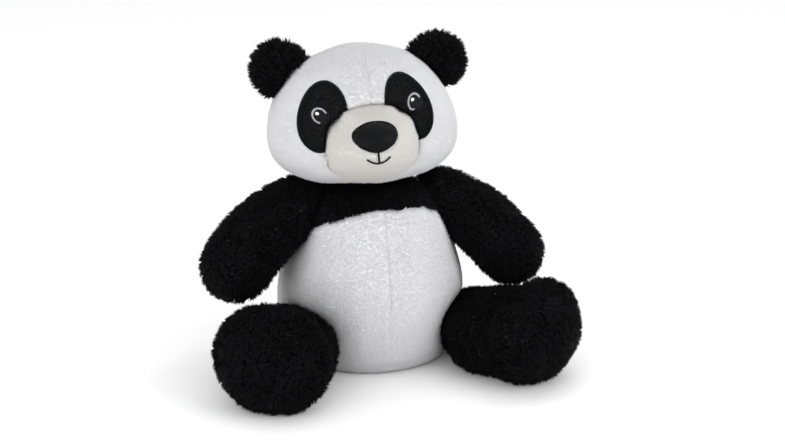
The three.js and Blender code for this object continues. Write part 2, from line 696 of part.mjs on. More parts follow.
function legParts(sign, sideName) {
  const skin = legShape(sign, 0).subtract(legShape(sign, SKIN));
  const turn = deg(FOOT_TURN);
  const aim = vec(sign * Math.sin(turn), -Math.cos(turn), -Math.tan(deg(FOOT_TIP))).normalize();
  const soleAt = footCentre(sign).addScaledVector(aim, FOOT_DEPTH - SOLE_IN);
  const [sole, tube] = halves(skin, soleAt, aim);
  const across = vec(legAim(sign).y * sign, -legAim(sign).x * sign, 0).negate();
  const [outer, inner] = halves(tube, mirrored(HIP, sign), across);
  const filling = legShape(sign, SKIN + GAP);
  const [stuffing, pellets] = halves(filling, vec(0, 0, FOOT_PELLET_HEIGHT), vec(0, 0, 1));
  const set = (made) => swung(made, mirrored(HIP, sign), vec(0, 0, sign), LEG_SET[sideName]);
  return [
    part("leg_outer_panel_" + sideName, set(outer), BLACK_PLUSH),
    part("leg_inner_panel_" + sideName, set(inner), BLACK_PLUSH),
    part("sole_panel_" + sideName, set(sole), BLACK_PLUSH),
    part("leg_stuffing_" + sideName, set(stuffing), STUFFING),
    part("foot_pellet_bag_" + sideName, set(pellets), PELLET_CLOTH),
  ];
}

function tailShape(inset) {
  const aim = vec(0, Math.cos(deg(TAIL_RISE)), Math.sin(deg(TAIL_RISE)));
  const curve = new THREE.LineCurve3(TAIL, TAIL.clone().addScaledVector(aim, TAIL_LENGTH));
  const profile = limbProfile(TAIL_BALL, TAIL_RADIUS, TAIL_RADIUS, TAIL_LENGTH, inset);
  return solid(alongCurve(turned(profile, ROUND_SMALL), curve, TAIL_LENGTH));
}

// ---- Whole toy ----------------------------------------------------------------------
const group = new THREE.Group();
group.add(...torsoParts());
group.add(...headParts());
group.add(part("neck_stuffing", ball(NECK_RADIUS, NECK), STUFFING));
for (const [sign, sideName] of [[1, "left"], [-1, "right"]]) {
  group.add(...earParts(sign, sideName));
  group.add(...armParts(sign, sideName));
  group.add(...legParts(sign, sideName));
}
group.add(part("tail", tailShape(0), WHITE_PLUSH));
export default group;
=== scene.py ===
import json
import logging
import math
from dataclasses import dataclass, field
from enum import Enum

import bmesh
import bpy
import numpy as np
from mathutils import Matrix, Vector
from mathutils.bvhtree import BVHTree
from mathutils.kdtree import KDTree


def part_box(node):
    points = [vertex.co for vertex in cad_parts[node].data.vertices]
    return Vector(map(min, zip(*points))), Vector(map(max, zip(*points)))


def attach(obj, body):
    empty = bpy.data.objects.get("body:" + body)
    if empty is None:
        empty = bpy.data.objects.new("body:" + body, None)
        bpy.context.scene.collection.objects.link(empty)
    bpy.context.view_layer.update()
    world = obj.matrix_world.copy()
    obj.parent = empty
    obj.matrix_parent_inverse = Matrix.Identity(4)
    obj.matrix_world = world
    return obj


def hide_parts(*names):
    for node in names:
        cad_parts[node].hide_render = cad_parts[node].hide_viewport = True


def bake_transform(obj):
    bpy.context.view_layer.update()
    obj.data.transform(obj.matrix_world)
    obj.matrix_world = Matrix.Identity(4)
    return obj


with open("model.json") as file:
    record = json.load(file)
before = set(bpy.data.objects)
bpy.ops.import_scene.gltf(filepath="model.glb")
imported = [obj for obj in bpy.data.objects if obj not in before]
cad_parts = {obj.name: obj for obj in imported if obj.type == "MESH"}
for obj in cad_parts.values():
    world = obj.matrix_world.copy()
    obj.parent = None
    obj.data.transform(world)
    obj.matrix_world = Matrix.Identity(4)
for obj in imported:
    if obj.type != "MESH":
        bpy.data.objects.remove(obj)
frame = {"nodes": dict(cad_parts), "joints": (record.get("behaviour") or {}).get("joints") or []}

log = logging.getLogger("plush_panda")
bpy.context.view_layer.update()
MM = 0.001
FLOOR_CLEAR = 0.4 * MM  # pile pressed by the weight of the toy ends this far above the floor
DOWN = Vector((0, 0, -1))


class Side(Enum):
    """The toy's own left and right."""

    LEFT = "left"
    RIGHT = "right"


# ---- Finishes ------------------------------------------------------------------


def new_material(name: str) -> tuple[bpy.types.Material, bpy.types.NodeTree, bpy.types.Node]:
    """Makes a node material.

    Args:
        name: the finish's plain name.

    Returns:
        The material, its node tree and its Principled shader.
    """
    material = bpy.data.materials.new(name)
    material.use_nodes = True
    tree = material.node_tree
    return material, tree, tree.nodes["Principled BSDF"]


def object_coordinates(
    tree: bpy.types.NodeTree,
    scale: tuple[float, float, float],
) -> bpy.types.NodeSocket:
    """Object coordinates stretched by a scale, as an output socket."""
    place = tree.nodes.new("ShaderNodeTexCoord")
    mapping = tree.nodes.new("ShaderNodeMapping")
    mapping.inputs["Scale"].default_value = scale
    tree.links.new(place.outputs["Object"], mapping.inputs["Vector"])
    return mapping.outputs["Vector"]


def add_bump(
    tree: bpy.types.NodeTree,
    shader: bpy.types.Node,
    height: bpy.types.NodeSocket,
    strength: float,
    depth: float,
) -> None:
    """Raises a shader's surface by a height pattern.

    Args:
        tree: the material's nodes.
        shader: the Principled shader.
        height: the pattern.
        strength: share of the bump that shows.
        depth: height of the bump in metres.
    """
    bump = tree.nodes.new("ShaderNodeBump")
    bump.inputs["Strength"].default_value = strength
    bump.inputs["Distance"].default_value = depth
    tree.links.new(height, bump.inputs["Height"])
    tree.links.new(bump.outputs["Normal"], shader.inputs["Normal"])


@dataclass(frozen=True)
class FibreFinish:
    """Loose pile: the tones of its fibres, and how they take the light."""

    name: str
    slot: str
    tones: tuple[tuple[float, float, float], ...]
    roughness: float
    specular: float
    sheen: float

    def materials(self) -> list[bpy.types.Material]:
        """One material for each tone of fibre."""
        made = []
        for number, tone in enumerate(self.tones):
            material, _, shader = new_material(f"{self.name}_fibre_{number + 1}")
            shader.inputs["Base Color"].default_value = (*tone, 1)
            shader.inputs["Roughness"].default_value = self.roughness
            shader.inputs["Specular IOR Level"].default_value = self.specular
            shader.inputs["Sheen Weight"].default_value = self.sheen
            shader.inputs["Sheen Roughness"].default_value = 0.45
            made.append(material)
        return made


@dataclass(frozen=True)
class BackingFinish:
    """Knitted backing cloth under the pile."""

    name: str
    colour: tuple[float, float, float]
    loops_per_metre: float = 900.0

    def material(self) -> bpy.types.Material:
        """Cloth with rows of knitted loops and a soft mottle in its roughness."""
        material, tree, shader = new_material(f"{self.name}_backing")
        shader.inputs["Base Color"].default_value = (*self.colour, 1)
        shader.inputs["Sheen Weight"].default_value = 0.2
        rows = tree.nodes.new("ShaderNodeTexWave")
        rows.wave_type = "BANDS"
        rows.bands_direction = "X"
        rows.inputs["Scale"].default_value = self.loops_per_metre / 8
        rows.inputs["Distortion"].default_value = 2.5
        tree.links.new(object_coordinates(tree, (1, 1, 1)), rows.inputs["Vector"])
        add_bump(tree, shader, rows.outputs["Fac"], 0.25, 0.2 * MM)
        mottle = tree.nodes.new("ShaderNodeTexNoise")
        mottle.inputs["Scale"].default_value = 220.0
        tree.links.new(object_coordinates(tree, (1, 1, 1)), mottle.inputs["Vector"])
        span = tree.nodes.new("ShaderNodeMapRange")
        span.inputs["To Min"].default_value = 0.8
        span.inputs["To Max"].default_value = 1.0
        tree.links.new(mottle.outputs["Fac"], span.inputs["Value"])
        tree.links.new(span.outputs["Result"], shader.inputs["Roughness"])
        return material


@dataclass(frozen=True)
class ThreadFinish:
    """Rayon embroidery thread: a base colour, a satin gloss and fine twisted strands."""

    name: str
    slot: str
    colour: tuple[float, float, float]
    roughness: float = 0.45
    specular: float = 0.4
    strand_scale: float = 1800.0

    def material(self) -> bpy.types.Material:
        """Thread whose strands show as fine slanted ridges, with painted shade in the grooves between
        them and a painted highlight on their crests.
        """
        material, tree, shader = new_material(self.name)
        shader.inputs["Specular IOR Level"].default_value = self.specular
        strands = tree.nodes.new("ShaderNodeTexWave")
        strands.bands_direction = "DIAGONAL"
        strands.inputs["Scale"].default_value = self.strand_scale / 6
        strands.inputs["Distortion"].default_value = 1.2
        tree.links.new(object_coordinates(tree, (1, 1, 1)), strands.inputs["Vector"])
        add_bump(tree, shader, strands.outputs["Fac"], 0.35, 0.1 * MM)
        # painted shade and highlight: the colour follows the bump's wave, darker in the grooves between
        # strands and lighter on their ridges
        tone = tree.nodes.new("ShaderNodeValToRGB")
        tone.color_ramp.elements[0].color = (*[c * 0.82 for c in self.colour], 1)
        tone.color_ramp.elements[1].color = (*[min(1, c * 1.15) for c in self.colour], 1)
        tree.links.new(strands.outputs["Fac"], tone.inputs["Fac"])
        tree.links.new(tone.outputs["Color"], shader.inputs["Base Color"])
        shader.inputs["Roughness"].default_value = self.roughness
        return material


@dataclass(frozen=True)
class SatinFinish:
    """Padded satin cloth of the nose."""

    name: str = "black_satin_cloth"
    slot: str = "black_satin"
    colour: tuple[float, float, float] = (0.0016, 0.0018, 0.0028)
    floats_per_metre: float = 1500.0

    def material(self) -> bpy.types.Material:
        """Satin with fine warp floats, a soft mottle and a broad gloss."""
        material, tree, shader = new_material(self.name)
        shader.inputs["Roughness"].default_value = 0.46
        shader.inputs["Specular IOR Level"].default_value = 0.09
        floats = tree.nodes.new("ShaderNodeTexWave")
        floats.bands_direction = "X"
        floats.inputs["Scale"].default_value = self.floats_per_metre / 6
        floats.inputs["Distortion"].default_value = 0.8
        tree.links.new(object_coordinates(tree, (1, 1, 0.3)), floats.inputs["Vector"])
        add_bump(tree, shader, floats.outputs["Fac"], 0.4, 0.12 * MM)
        mottle = tree.nodes.new("ShaderNodeTexNoise")
        mottle.inputs["Scale"].default_value = 160.0
        tree.links.new(object_coordinates(tree, (1, 1, 1)), mottle.inputs["Vector"])
        tone = tree.nodes.new("ShaderNodeValToRGB")
        tone.color_ramp.elements[0].color = (*[c * 0.7 for c in self.colour], 1)
        tone.color_ramp.elements[1].color = (*[c * 1.6 for c in self.colour], 1)
        tree.links.new(mottle.outputs["Fac"], tone.inputs["Fac"])
        tree.links.new(tone.outputs["Color"], shader.inputs["Base Color"])
        return material


@dataclass(frozen=True)
class FillingFinish:
    """What is inside: loose polyester fibre, or a cloth bag of pellets."""

    name: str
    slot: str
    colour: tuple[float, float, float]
    grain: float  # size of the lumps, in metres

    def material(self) -> bpy.types.Material:
        """A lumpy filling with a mottled tone."""
        material, tree, shader = new_material(self.name)
        shader.inputs["Roughness"].default_value = 0.95
        lumps = tree.nodes.new("ShaderNodeTexVoronoi")
        lumps.inputs["Scale"].default_value = 1 / self.grain
        tree.links.new(object_coordinates(tree, (1, 1, 1)), lumps.inputs["Vector"])
        add_bump(tree, shader, lumps.outputs["Distance"], 0.7, self.grain * 0.4)
        tone = tree.nodes.new("ShaderNodeValToRGB")
        tone.color_ramp.elements[0].color = (*self.colour, 1)
        tone.color_ramp.elements[1].color = (*[c * 0.8 for c in self.colour], 1)
        tree.links.new(lumps.outputs["Distance"], tone.inputs["Fac"])
        tree.links.new(tone.outputs["Color"], shader.inputs["Base Color"])
        return material


WHITE_FIBRE = FibreFinish(
    "white_plush", "white_short_plush",
    ((0.775, 0.775, 0.787), (0.75, 0.75, 0.764), (0.79, 0.79, 0.80)), 0.85, 0.15, 0.15,
)
CREAM_FIBRE = FibreFinish(
    "cream_plush",
    "cream_plush",
    ((0.75, 0.737, 0.70), (0.725, 0.71, 0.67), (0.765, 0.753, 0.717)),
    0.85,
    0.15,
    0.15,
)
BLACK_FIBRE = FibreFinish(
    "black_plush", "black_long_plush",
    ((0.0016, 0.0016, 0.0023), (0.0036, 0.0036, 0.005), (0.001, 0.001, 0.0014)), 0.55, 0.085, 0.003,
)
PATCH_FIBRE = FibreFinish(
    "black_short_plush",
    "black_felt",
    ((0.0020, 0.0023, 0.0032), (0.0032, 0.0036, 0.0046)),
    0.75,
    0.055,
    0.002,
)
WHITE_BACKING = BackingFinish("white_knit", (0.76, 0.76, 0.77))
CREAM_BACKING = BackingFinish("cream_knit", (0.735, 0.722, 0.685))
BLACK_BACKING = BackingFinish("black_knit", (0.0015, 0.0015, 0.0018))
BLACK_THREAD = ThreadFinish("black_thread", "black_thread", (0.004, 0.0038, 0.0036), 0.6, 0.08)
EDGE_THREAD = ThreadFinish("dark_edge_thread", "black_felt", (0.005, 0.0056, 0.0062), 0.6, 0.09)
EYE_THREAD = ThreadFinish("eye_thread", "black_thread", (0.006, 0.006, 0.0075), 0.5, 0.14)
GREY_THREAD = ThreadFinish("grey_thread", "grey_thread", (0.36, 0.36, 0.39))
WHITE_THREAD = ThreadFinish("white_thread", "white_thread", (0.92, 0.92, 0.93))
BLACK_SATIN = SatinFinish()
FIBRE_FILL = FillingFinish("polyester_fibre", "stuffing", (0.86, 0.86, 0.84), 9 * MM)
PELLET_BAG = FillingFinish("pellet_bag_cloth", "pellet_cloth", (0.66, 0.64, 0.58), 4 * MM)


# ---- Pile ----------------------------------------------------------------------


@dataclass(frozen=True)
class Pile:
    """How loose pile stands on its backing cloth. Lengths are in metres."""

    length: float
    tufts_per_mm2: float
    half_width: float
    lean: float  # how far the tips lean with the comb, as a share of the length
    ruffle: float  # how far they stray from the comb
    clump: float  # how far tips gather in a point
    clump_spacing: float
    bent: bool  # long tufts bend, short ones are plain cones
    softness: float  # how far the tufts shade like the cloth that they stand on


SHORT_PILE = Pile(2.6 * MM, 1.4, 0.64 * MM, 0.42, 0.25, 0.15, 2.4 * MM, False, 0.62)
MUZZLE_PILE = Pile(2.1 * MM, 2.2, 0.53 * MM, 0.4, 0.2, 0.1, 2.0 * MM, False, 0.7)
PATCH_PILE = Pile(1.3 * MM, 3.2, 0.4 * MM, 0.5, 0.3, 0.15, 1.6 * MM, False, 0.8)
LONG_PILE = Pile(7.2 * MM, 0.68, 0.64 * MM, 0.6, 0.6, 0.46, 5.0 * MM, True, 0.2)
COLLAR_PILE = Pile(8.5 * MM, 1.0, 0.6 * MM, 0.8, 0.4, 0.35, 4.5 * MM, True, 0.35)
EAR_PILE = Pile(6.4 * MM, 1.05, 0.58 * MM, 0.45, 0.6, 0.42, 4.2 * MM, True, 0.2)


def tuft_template(bent: bool) -> tuple[np.ndarray, list[list[int]]]:
    """The shape that every tuft repeats: a three-sided cone of unit radius and height.

    Args:
        bent: whether it has a middle ring, so that it can bend.

    Returns:
        Its points and its faces.
    """
    bm = bmesh.new()
    bmesh.ops.create_cone(bm, cap_ends=False, segments=3, radius1=1.0, radius2=0.0, depth=1.0)
    bmesh.ops.translate(bm, verts=bm.verts, vec=(0, 0, 0.5))
    bmesh.ops.remove_doubles(bm, verts=bm.verts, dist=1e-4)
    if bent:
        cut_height, fullness = 0.5, 1.45
        geometry = bm.verts[:] + bm.edges[:] + bm.faces[:]
        bmesh.ops.bisect_plane(bm, geom=geometry, plane_co=(0, 0, cut_height), plane_no=(0, 0, 1))
        ring = [v for v in bm.verts if abs(v.co.z - cut_height) < 0.01]
        bmesh.ops.scale(bm, verts=ring, vec=(fullness, fullness, 1))
    bm.verts.index_update()
    points = np.array([v.co[:] for v in bm.verts])
    faces = [[v.index for v in f.verts] for f in bm.faces]
    bm.free()
    return points, faces


def unit(vectors: np.ndarray) -> np.ndarray:
    """Vectors at length one."""
    return vectors / np.maximum(np.linalg.norm(vectors, axis=1, keepdims=True), 1e-12)


def waves(points: np.ndarray, reach: float, seed: int) -> np.ndarray:
    """A smooth random vector at each point.

    Args:
        points: places in metres.
        reach: size of its swells in metres.
        seed: which field.

    Returns:
        One vector of about unit length for each point.
    """
    draw = np.random.default_rng(seed)
    total = np.zeros_like(points)
    for _ in range(7):
        direction = unit(draw.normal(size=(1, 3)))[0]
        rate = 2 * math.pi / (reach * draw.uniform(0.6, 1.8))
        total += (
            np.sin(points @ direction * rate + draw.uniform(0, 2 * math.pi))[:, None]
            * draw.normal(size=3)
        )
    return total / math.sqrt(7)


class MeshParts:
    """Gathers points and faces of several shapes that go in one mesh."""

    def __init__(self) -> None:
        """Starts empty."""
        self.points: list[np.ndarray] = []
        self.sizes: list[np.ndarray] = []
        self.corners: list[np.ndarray] = []
        self.slots: list[np.ndarray] = []
        self.normals: list[np.ndarray] = []
        self.count = 0

    def add(
        self,
        points: np.ndarray,
        sizes: np.ndarray,
        corners: np.ndarray,
        slots: np.ndarray,
        normals: np.ndarray | None = None,
    ) -> None:
        """Adds a shape.

        Args:
            points: its points.
            sizes: the number of corners of each face.
            corners: the faces' point numbers in one list.
            slots: each face's material slot.
            normals: shading directions of the points; none leaves them to the faces.
        """
        self.points.append(points)
        self.sizes.append(sizes)
        self.corners.append(corners + self.count)
        self.slots.append(slots)
        self.normals.append(np.zeros_like(points) if normals is None else normals)
        self.count += len(points)

    def add_bmesh(self, bm: bmesh.types.BMesh, slot: int) -> None:
        """Adds a bmesh in one material slot."""
        bm.verts.index_update()
        points = np.array([v.co[:] for v in bm.verts])
        sizes = np.array([len(f.verts) for f in bm.faces])
        corners = np.array([v.index for f in bm.faces for v in f.verts])
        self.add(points, sizes, corners, np.full(len(sizes), slot))

    def add_tufts(
        self,
        pile: Pile,
        roots: np.ndarray,
        normals: np.ndarray,
        tips: np.ndarray,
        slots: np.ndarray,
    ) -> None:
        """Adds one copy of the pile's tuft at each root.

        Args:
            pile: the pile.
            roots: where the tufts start.
            normals: the surface's directions there.
            tips: where they end.
            slots: the material slot of each tuft.
        """
        template, faces = tuft_template(pile.bent)
        control = roots + normals * pile.length * 0.62
        across = unit(np.cross(normals, tips - roots + np.array([0.013, 0.017, 0.011]) * pile.length))
        other = unit(np.cross(normals, across))
        z = template[None, :, 2, None]
        line = (1 - z) ** 2 * roots[:, None] + 2 * z * (1 - z) * control[:, None] + z**2 * tips[:, None]
        spread = (
            template[None, :, 0, None] * across[:, None]
            + template[None, :, 1, None] * other[:, None]
        )
        points = (line + spread * pile.half_width).reshape(-1, 3)
        points[:, 2] = np.maximum(points[:, 2], FLOOR_CLEAR)
        first = np.arange(len(roots)) * len(template)
        flat = np.concatenate([np.array(f) for f in faces])
        corners = (first[:, None] + flat[None]).ravel()
        sizes = np.tile([len(f) for f in faces], len(roots))
        way = unit(tips - roots)
        around = unit((spread + way[:, None] * 0.1).reshape(-1, 3)).reshape(spread.shape)
        soft = normals[:, None] * pile.softness + around * (1 - pile.softness)
        self.add(points, sizes, corners, np.repeat(slots, len(faces)), unit(soft.reshape(-1, 3)))

    def make(self, name: str, materials: list[bpy.types.Material]) -> bpy.types.Object:
        """Builds the mesh and its object.

        Args:
            name: the piece's name.
            materials: its material slots.

        Returns:
            The new object, at the origin.
        """
        points = np.concatenate(self.points).astype(np.float32)
        sizes = np.concatenate(self.sizes).astype(np.int32)
        corners = np.concatenate(self.corners).astype(np.int32)
        mesh = bpy.data.meshes.new(name)
        mesh.vertices.add(len(points))
        mesh.vertices.foreach_set("co", points.ravel())
        mesh.loops.add(len(corners))
        mesh.loops.foreach_set("vertex_index", corners)
        mesh.polygons.add(len(sizes))
        mesh.polygons.foreach_set(
            "loop_start", np.concatenate([[0], np.cumsum(sizes)[:-1]]).astype(np.int32)
        )
        mesh.polygons.foreach_set("material_index", np.concatenate(self.slots).astype(np.int32))
        mesh.polygons.foreach_set("use_smooth", np.ones(len(sizes), bool))
        mesh.update(calc_edges=True)
        mesh.validate()
        shading = np.concatenate(self.normals)
        if shading.any():
            mesh.normals_split_custom_set_from_vertices(shading.tolist())
        for material in materials:
            mesh.materials.append(material)
        piece = bpy.data.objects.new(name, mesh)
        bpy.context.scene.collection.objects.link(piece)
        return piece


# ---- Stuffed shapes --------------------------------------------------------------


def node_bmesh(nodes: list[str]) -> bmesh.types.BMesh:
    """A merged copy of CAD nodes, as one bmesh."""
    bm = bmesh.new()
    for node in nodes:
        bm.from_mesh(frame["nodes"][node].data)
    bmesh.ops.remove_doubles(bm, verts=bm.verts, dist=0.01 * MM)
    return bm


def node_tree(node: str) -> BVHTree:
    """A search tree of a CAD node's surface."""
    bm = node_bmesh([node])
    tree = BVHTree.FromBMesh(bm)
    bm.free()
    return tree


def remeshed(nodes: list[str], grain: float) -> bmesh.types.BMesh:
    """CAD nodes as one closed skin of even small faces.

    Args:
        nodes: the nodes, which touch or nearly touch.
        grain: size of the faces in metres.

    Returns:
        The skin, without any small loose shell.
    """
    bm = node_bmesh(nodes)
    mesh = bpy.data.meshes.new("rough")
    bm.to_mesh(mesh)
    bm.free()
    rough = bpy.data.objects.new("rough", mesh)
    bpy.context.scene.collection.objects.link(rough)
    remesh = rough.modifiers.new("even", "REMESH")
    remesh.mode = "VOXEL"
    remesh.voxel_size = grain
    even = rough.evaluated_get(bpy.context.evaluated_depsgraph_get()).to_mesh()
    skin = bmesh.new()
    skin.from_mesh(even)
    bpy.data.objects.remove(rough)
    bpy.data.meshes.remove(mesh)
    left = set(skin.verts)
    shells = []
    while left:
        edge = [left.pop()]
        shell = list(edge)
        while edge:
            near = [e.other_vert(v) for v in edge for e in v.link_edges]
            edge = [v for v in set(near) if v in left]
            left.difference_update(edge)
            shell += edge
        shells.append(shell)
    largest = max(shells, key=len)
    loose = [v for shell in shells if shell is not largest for v in shell]
    bmesh.ops.delete(skin, geom=loose, context="VERTS")
    skin.normal_update()
    return skin


def thicken(bm: bmesh.types.BMesh, thickness: float) -> None:
    """Gives an open sheet an inner face and walls along its edges."""
    made = bmesh.ops.extrude_face_region(bm, geom=bm.faces[:], use_keep_orig=True)
    inner = [v for v in made["geom"] if isinstance(v, bmesh.types.BMVert)]
    bm.normal_update()
    for v in inner:
        v.co -= v.normal * thickness
    bmesh.ops.recalc_face_normals(bm, faces=bm.faces)


def relax(bm: bmesh.types.BMesh, rounds: int, swell: float = 0.0) -> None:
    """Rounds off a closed skin's facets and keeps its volume.

    Args:
        bm: the skin.
        rounds: how often it is smoothed.
        swell: how much further its surface moves outwards, in metres.
    """
    before = bm.calc_volume()
    for _ in range(rounds):
        bmesh.ops.smooth_vert(
            bm, verts=bm.verts, factor=0.5, use_axis_x=True, use_axis_y=True, use_axis_z=True
        )
    area = sum(f.calc_area() for f in bm.faces)
    out = (before - bm.calc_volume()) / area + swell
    bm.normal_update()
    for v in bm.verts:
        v.co += v.normal * out
        v.co.z = max(v.co.z, FLOOR_CLEAR)
    bm.normal_update()


@dataclass(frozen=True)
class Panel:
    """One sewn panel of plush."""

    piece: str
    node: str
    fibre: FibreFinish
    backing: BackingFinish
    pile: Pile
    comb: Vector


@dataclass
class SewnShape:
    """A stuffed shape that is sewn from panels."""

    panels: list[Panel]
    fillings: dict[str, tuple[str, FillingFinish]]  # CAD node: piece name and finish
    grain: float = 3.0 * MM
    rounds: int = 22
    swell: float = 0.4 * MM
    seam_depth: float = 1.3 * MM
    seam_width: float = 3.0 * MM
    lump: float = 0.5 * MM
    cloth: float = 1.2 * MM
    seed: int = 1
    # a point on each straight seam and its sideways direction
    seam_planes: tuple[tuple[Vector, Vector], ...] = ()
    pieces: dict[str, bpy.types.Object] = field(default_factory=dict)
    surface: BVHTree | None = None

    def skin(self) -> bmesh.types.BMesh:
        """The whole outer skin, before it is cut in panels."""
        nodes = [p.node for p in self.panels] + list(self.fillings)
        bm = remeshed(nodes, self.grain)
        relax(bm, self.rounds, self.swell)
        for point, sideways in self.seam_planes:
            geometry = bm.verts[:] + bm.edges[:] + bm.faces[:]
            bmesh.ops.bisect_plane(bm, geom=geometry, plane_co=point, plane_no=sideways, dist=0.05 * MM)
        bm.normal_update()
        return bm

    def label(self, bm: bmesh.types.BMesh) -> None:
        """Gives each face the number of the panel that it lies on, as its material index."""
        trees = [node_tree(p.node) for p in self.panels]
        for face in bm.faces:
            middle = self.seam_place(face.calc_center_median())
            face.material_index = min(range(len(trees)), key=lambda i: trees[i].find_nearest(middle)[3])

    def seam_place(self, middle: Vector) -> Vector:
        """Where a face looks up its panel; a plain shape keeps to the pattern."""
        return middle

    def sink_seams(self, bm: bmesh.types.BMesh) -> None:
        """Draws the skin in along its seams, and lets the stuffing swell softly between them."""
        seams = [e for e in bm.edges if len({f.material_index for f in e.link_faces}) > 1]
        places = KDTree(max(1, len(seams)))
        for number, edge in enumerate(seams):
            places.insert((edge.verts[0].co + edge.verts[1].co) / 2, number)
        places.balance()
        points = np.array([v.co[:] for v in bm.verts])
        swells = waves(points, 55 * MM, self.seed)[:, 0]
        for vert, swell in zip(bm.verts, swells):
            distance = places.find(vert.co)[2] if seams else 1.0
            pull = math.exp(-((distance / self.seam_width) ** 2)) * self.seam_depth
            vert.co += vert.normal * (swell * self.lump - pull)
            vert.co.z = max(vert.co.z, FLOOR_CLEAR)
        bm.normal_update()

    def shape(self, bm: bmesh.types.BMesh) -> None:
        """Room for a sub-assembly's own changes of form; the plain one has none."""

    def covered(self, roots: np.ndarray) -> np.ndarray:
        """Which roots lie under something that is sewn on; on a plain shape, none."""
        return np.zeros(len(roots), bool)

    def cut_panel(self, bm: bmesh.types.BMesh, number: int) -> bmesh.types.BMesh:
        """One panel's part of the skin."""
        cut = bm.copy()
        others = [f for f in cut.faces if f.material_index != number]
        bmesh.ops.delete(cut, geom=others, context="FACES")
        return cut

    def roots(
        self,
        bm: bmesh.types.BMesh,
        pile: Pile,
        draw: np.random.Generator,
    ) -> tuple[np.ndarray, np.ndarray]:
        """Spreads roots evenly over a panel.

        Args:
            bm: the panel's skin.
            pile: the pile.
            draw: the source of random numbers.

        Returns:
            The roots and the directions of the skin there.
        """
        bm.verts.index_update()
        points = np.array([v.co[:] for v in bm.verts])
        directions = np.array([v.normal[:] for v in bm.verts])
        triangles = np.array([[loop.vert.index for loop in t] for t in bm.calc_loop_triangles()])
        a, b, c = (points[triangles[:, i]] for i in range(3))
        areas = np.linalg.norm(np.cross(b - a, c - a), axis=1) / 2
        wanted = areas * 1e6 * pile.tufts_per_mm2
        counts = np.floor(wanted + draw.random(len(wanted))).astype(int)
        which = np.repeat(np.arange(len(triangles)), counts)
        u, v = draw.random(len(which)), draw.random(len(which))
        over = u + v > 1
        u[over], v[over] = 1 - u[over], 1 - v[over]
        weights = np.stack([1 - u - v, u, v], axis=1)
        corner = triangles[which]
        roots = (points[corner] * weights[..., None]).sum(1)
        normals = unit((directions[corner] * weights[..., None]).sum(1))
        return roots, normals

    def tips(
        self,
        panel: Panel,
        roots: np.ndarray,
        normals: np.ndarray,
        draw: np.random.Generator,
    ) -> np.ndarray:
        """Where the tufts end: combed, ruffled and gathered in clumps.

        Args:
            panel: the panel.
            roots: the tufts' roots.
            normals: the skin's directions there.
            draw: the source of random numbers.

        Returns:
            The tips.
        """
        pile = panel.pile
        lay = self.comb(panel, roots) + waves(roots, 22 * MM, self.seed + 5) * pile.ruffle
        lay -= normals * (lay * normals).sum(1, keepdims=True)
        lengths = pile.length * draw.uniform(0.75, 1.15, (len(roots), 1))
        stray = draw.normal(size=roots.shape) * 0.22
        tips = roots + unit(normals + lay * pile.lean + stray) * lengths
        seeds = draw.choice(
            len(roots), max(1, int(len(roots) / pile.tufts_per_mm2 / (pile.clump_spacing / MM) ** 2))
        )
        own = draw.normal(size=(len(seeds), 3)) * 0.35
        points = roots[seeds] + unit(normals[seeds] + lay[seeds] * pile.lean + own) * pile.length * 1.1
        places = KDTree(len(seeds))
        for number, index in enumerate(seeds):
            places.insert(roots[index], number)
        places.balance()
        nearest = np.array([places.find(r)[1] for r in roots])
        return tips + (points[nearest] - tips) * pile.clump * draw.uniform(0.5, 1.3, (len(roots), 1))

    def comb(self, panel: Panel, roots: np.ndarray) -> np.ndarray:
        """The direction that the pile is combed in, at each root."""
        return np.tile(np.array(panel.comb), (len(roots), 1))

    def plush(self, panel: Panel, number: int, bm: bmesh.types.BMesh) -> bpy.types.Object:
        """Builds one panel: its backing cloth with its pile.

        Args:
            panel: the panel.
            number: its number on the skin.
            bm: the whole skin.

        Returns:
            The finished piece.
        """
        draw = np.random.default_rng(self.seed * 100 + number)
        cut = self.cut_panel(bm, number)
        roots, normals = self.roots(cut, panel.pile, draw)
        bare = self.covered(roots)
        roots, normals = roots[~bare], normals[~bare]
        tips = self.tips(panel, roots, normals, draw)
        thicken(cut, self.cloth)
        parts = MeshParts()
        parts.add_bmesh(cut, 0)
        cut.free()
        slots = draw.integers(1, len(panel.fibre.tones) + 1, len(roots))
        parts.add_tufts(panel.pile, roots - normals * 0.4 * MM, normals, tips, slots)
        piece = parts.make(panel.piece, [material_of(panel.backing)] + fibres_of(panel.fibre))
        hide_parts(panel.node)
        log.info("%s: %d tufts, %d faces", piece.name, len(roots), len(piece.data.polygons))
        return piece

    def build(self) -> None:
        """Builds every panel and filling."""
        bm = self.skin()
        self.shape(bm)
        self.label(bm)
        self.sink_seams(bm)
        self.surface = BVHTree.FromBMesh(bm)
        for number, panel in enumerate(self.panels):
            self.pieces[panel.node] = self.plush(panel, number, bm)
        bm.free()
        for node, (name, finish) in self.fillings.items():
            self.pieces[node] = build_filling(node, name, finish)


_materials: dict[object, list[bpy.types.Material]] = {}


def material_of(finish: object) -> bpy.types.Material:
    """The material of a finish, made once."""
    if finish not in _materials:
        _materials[finish] = [finish.material()]
    return _materials[finish][0]


def fibres_of(finish: FibreFinish) -> list[bpy.types.Material]:
    """The materials of a fibre finish, made once."""
    if finish not in _materials:
        _materials[finish] = finish.materials()
    return _materials[finish]


def build_filling(node: str, name: str, finish: FillingFinish) -> bpy.types.Object:
    """Builds a soft filling a little inside its CAD solid.

    Args:
        node: the CAD node that it stands for.
        name: the piece's name.
        finish: its finish.

    Returns:
        The finished piece.
    """
    bm = remeshed([node], 5 * MM)
    relax(bm, 5, -1.6 * MM)
    points = np.array([v.co[:] for v in bm.verts])
    for vert, lump in zip(bm.verts, waves(points, finish.grain * 3, 3)[:, 0]):
        vert.co -= vert.normal * abs(lump) * 0.6 * MM
    parts = MeshParts()
    parts.add_bmesh(bm, 0)
    bm.free()
    piece = parts.make(name, [material_of(finish)])
    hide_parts(node)
    return piece


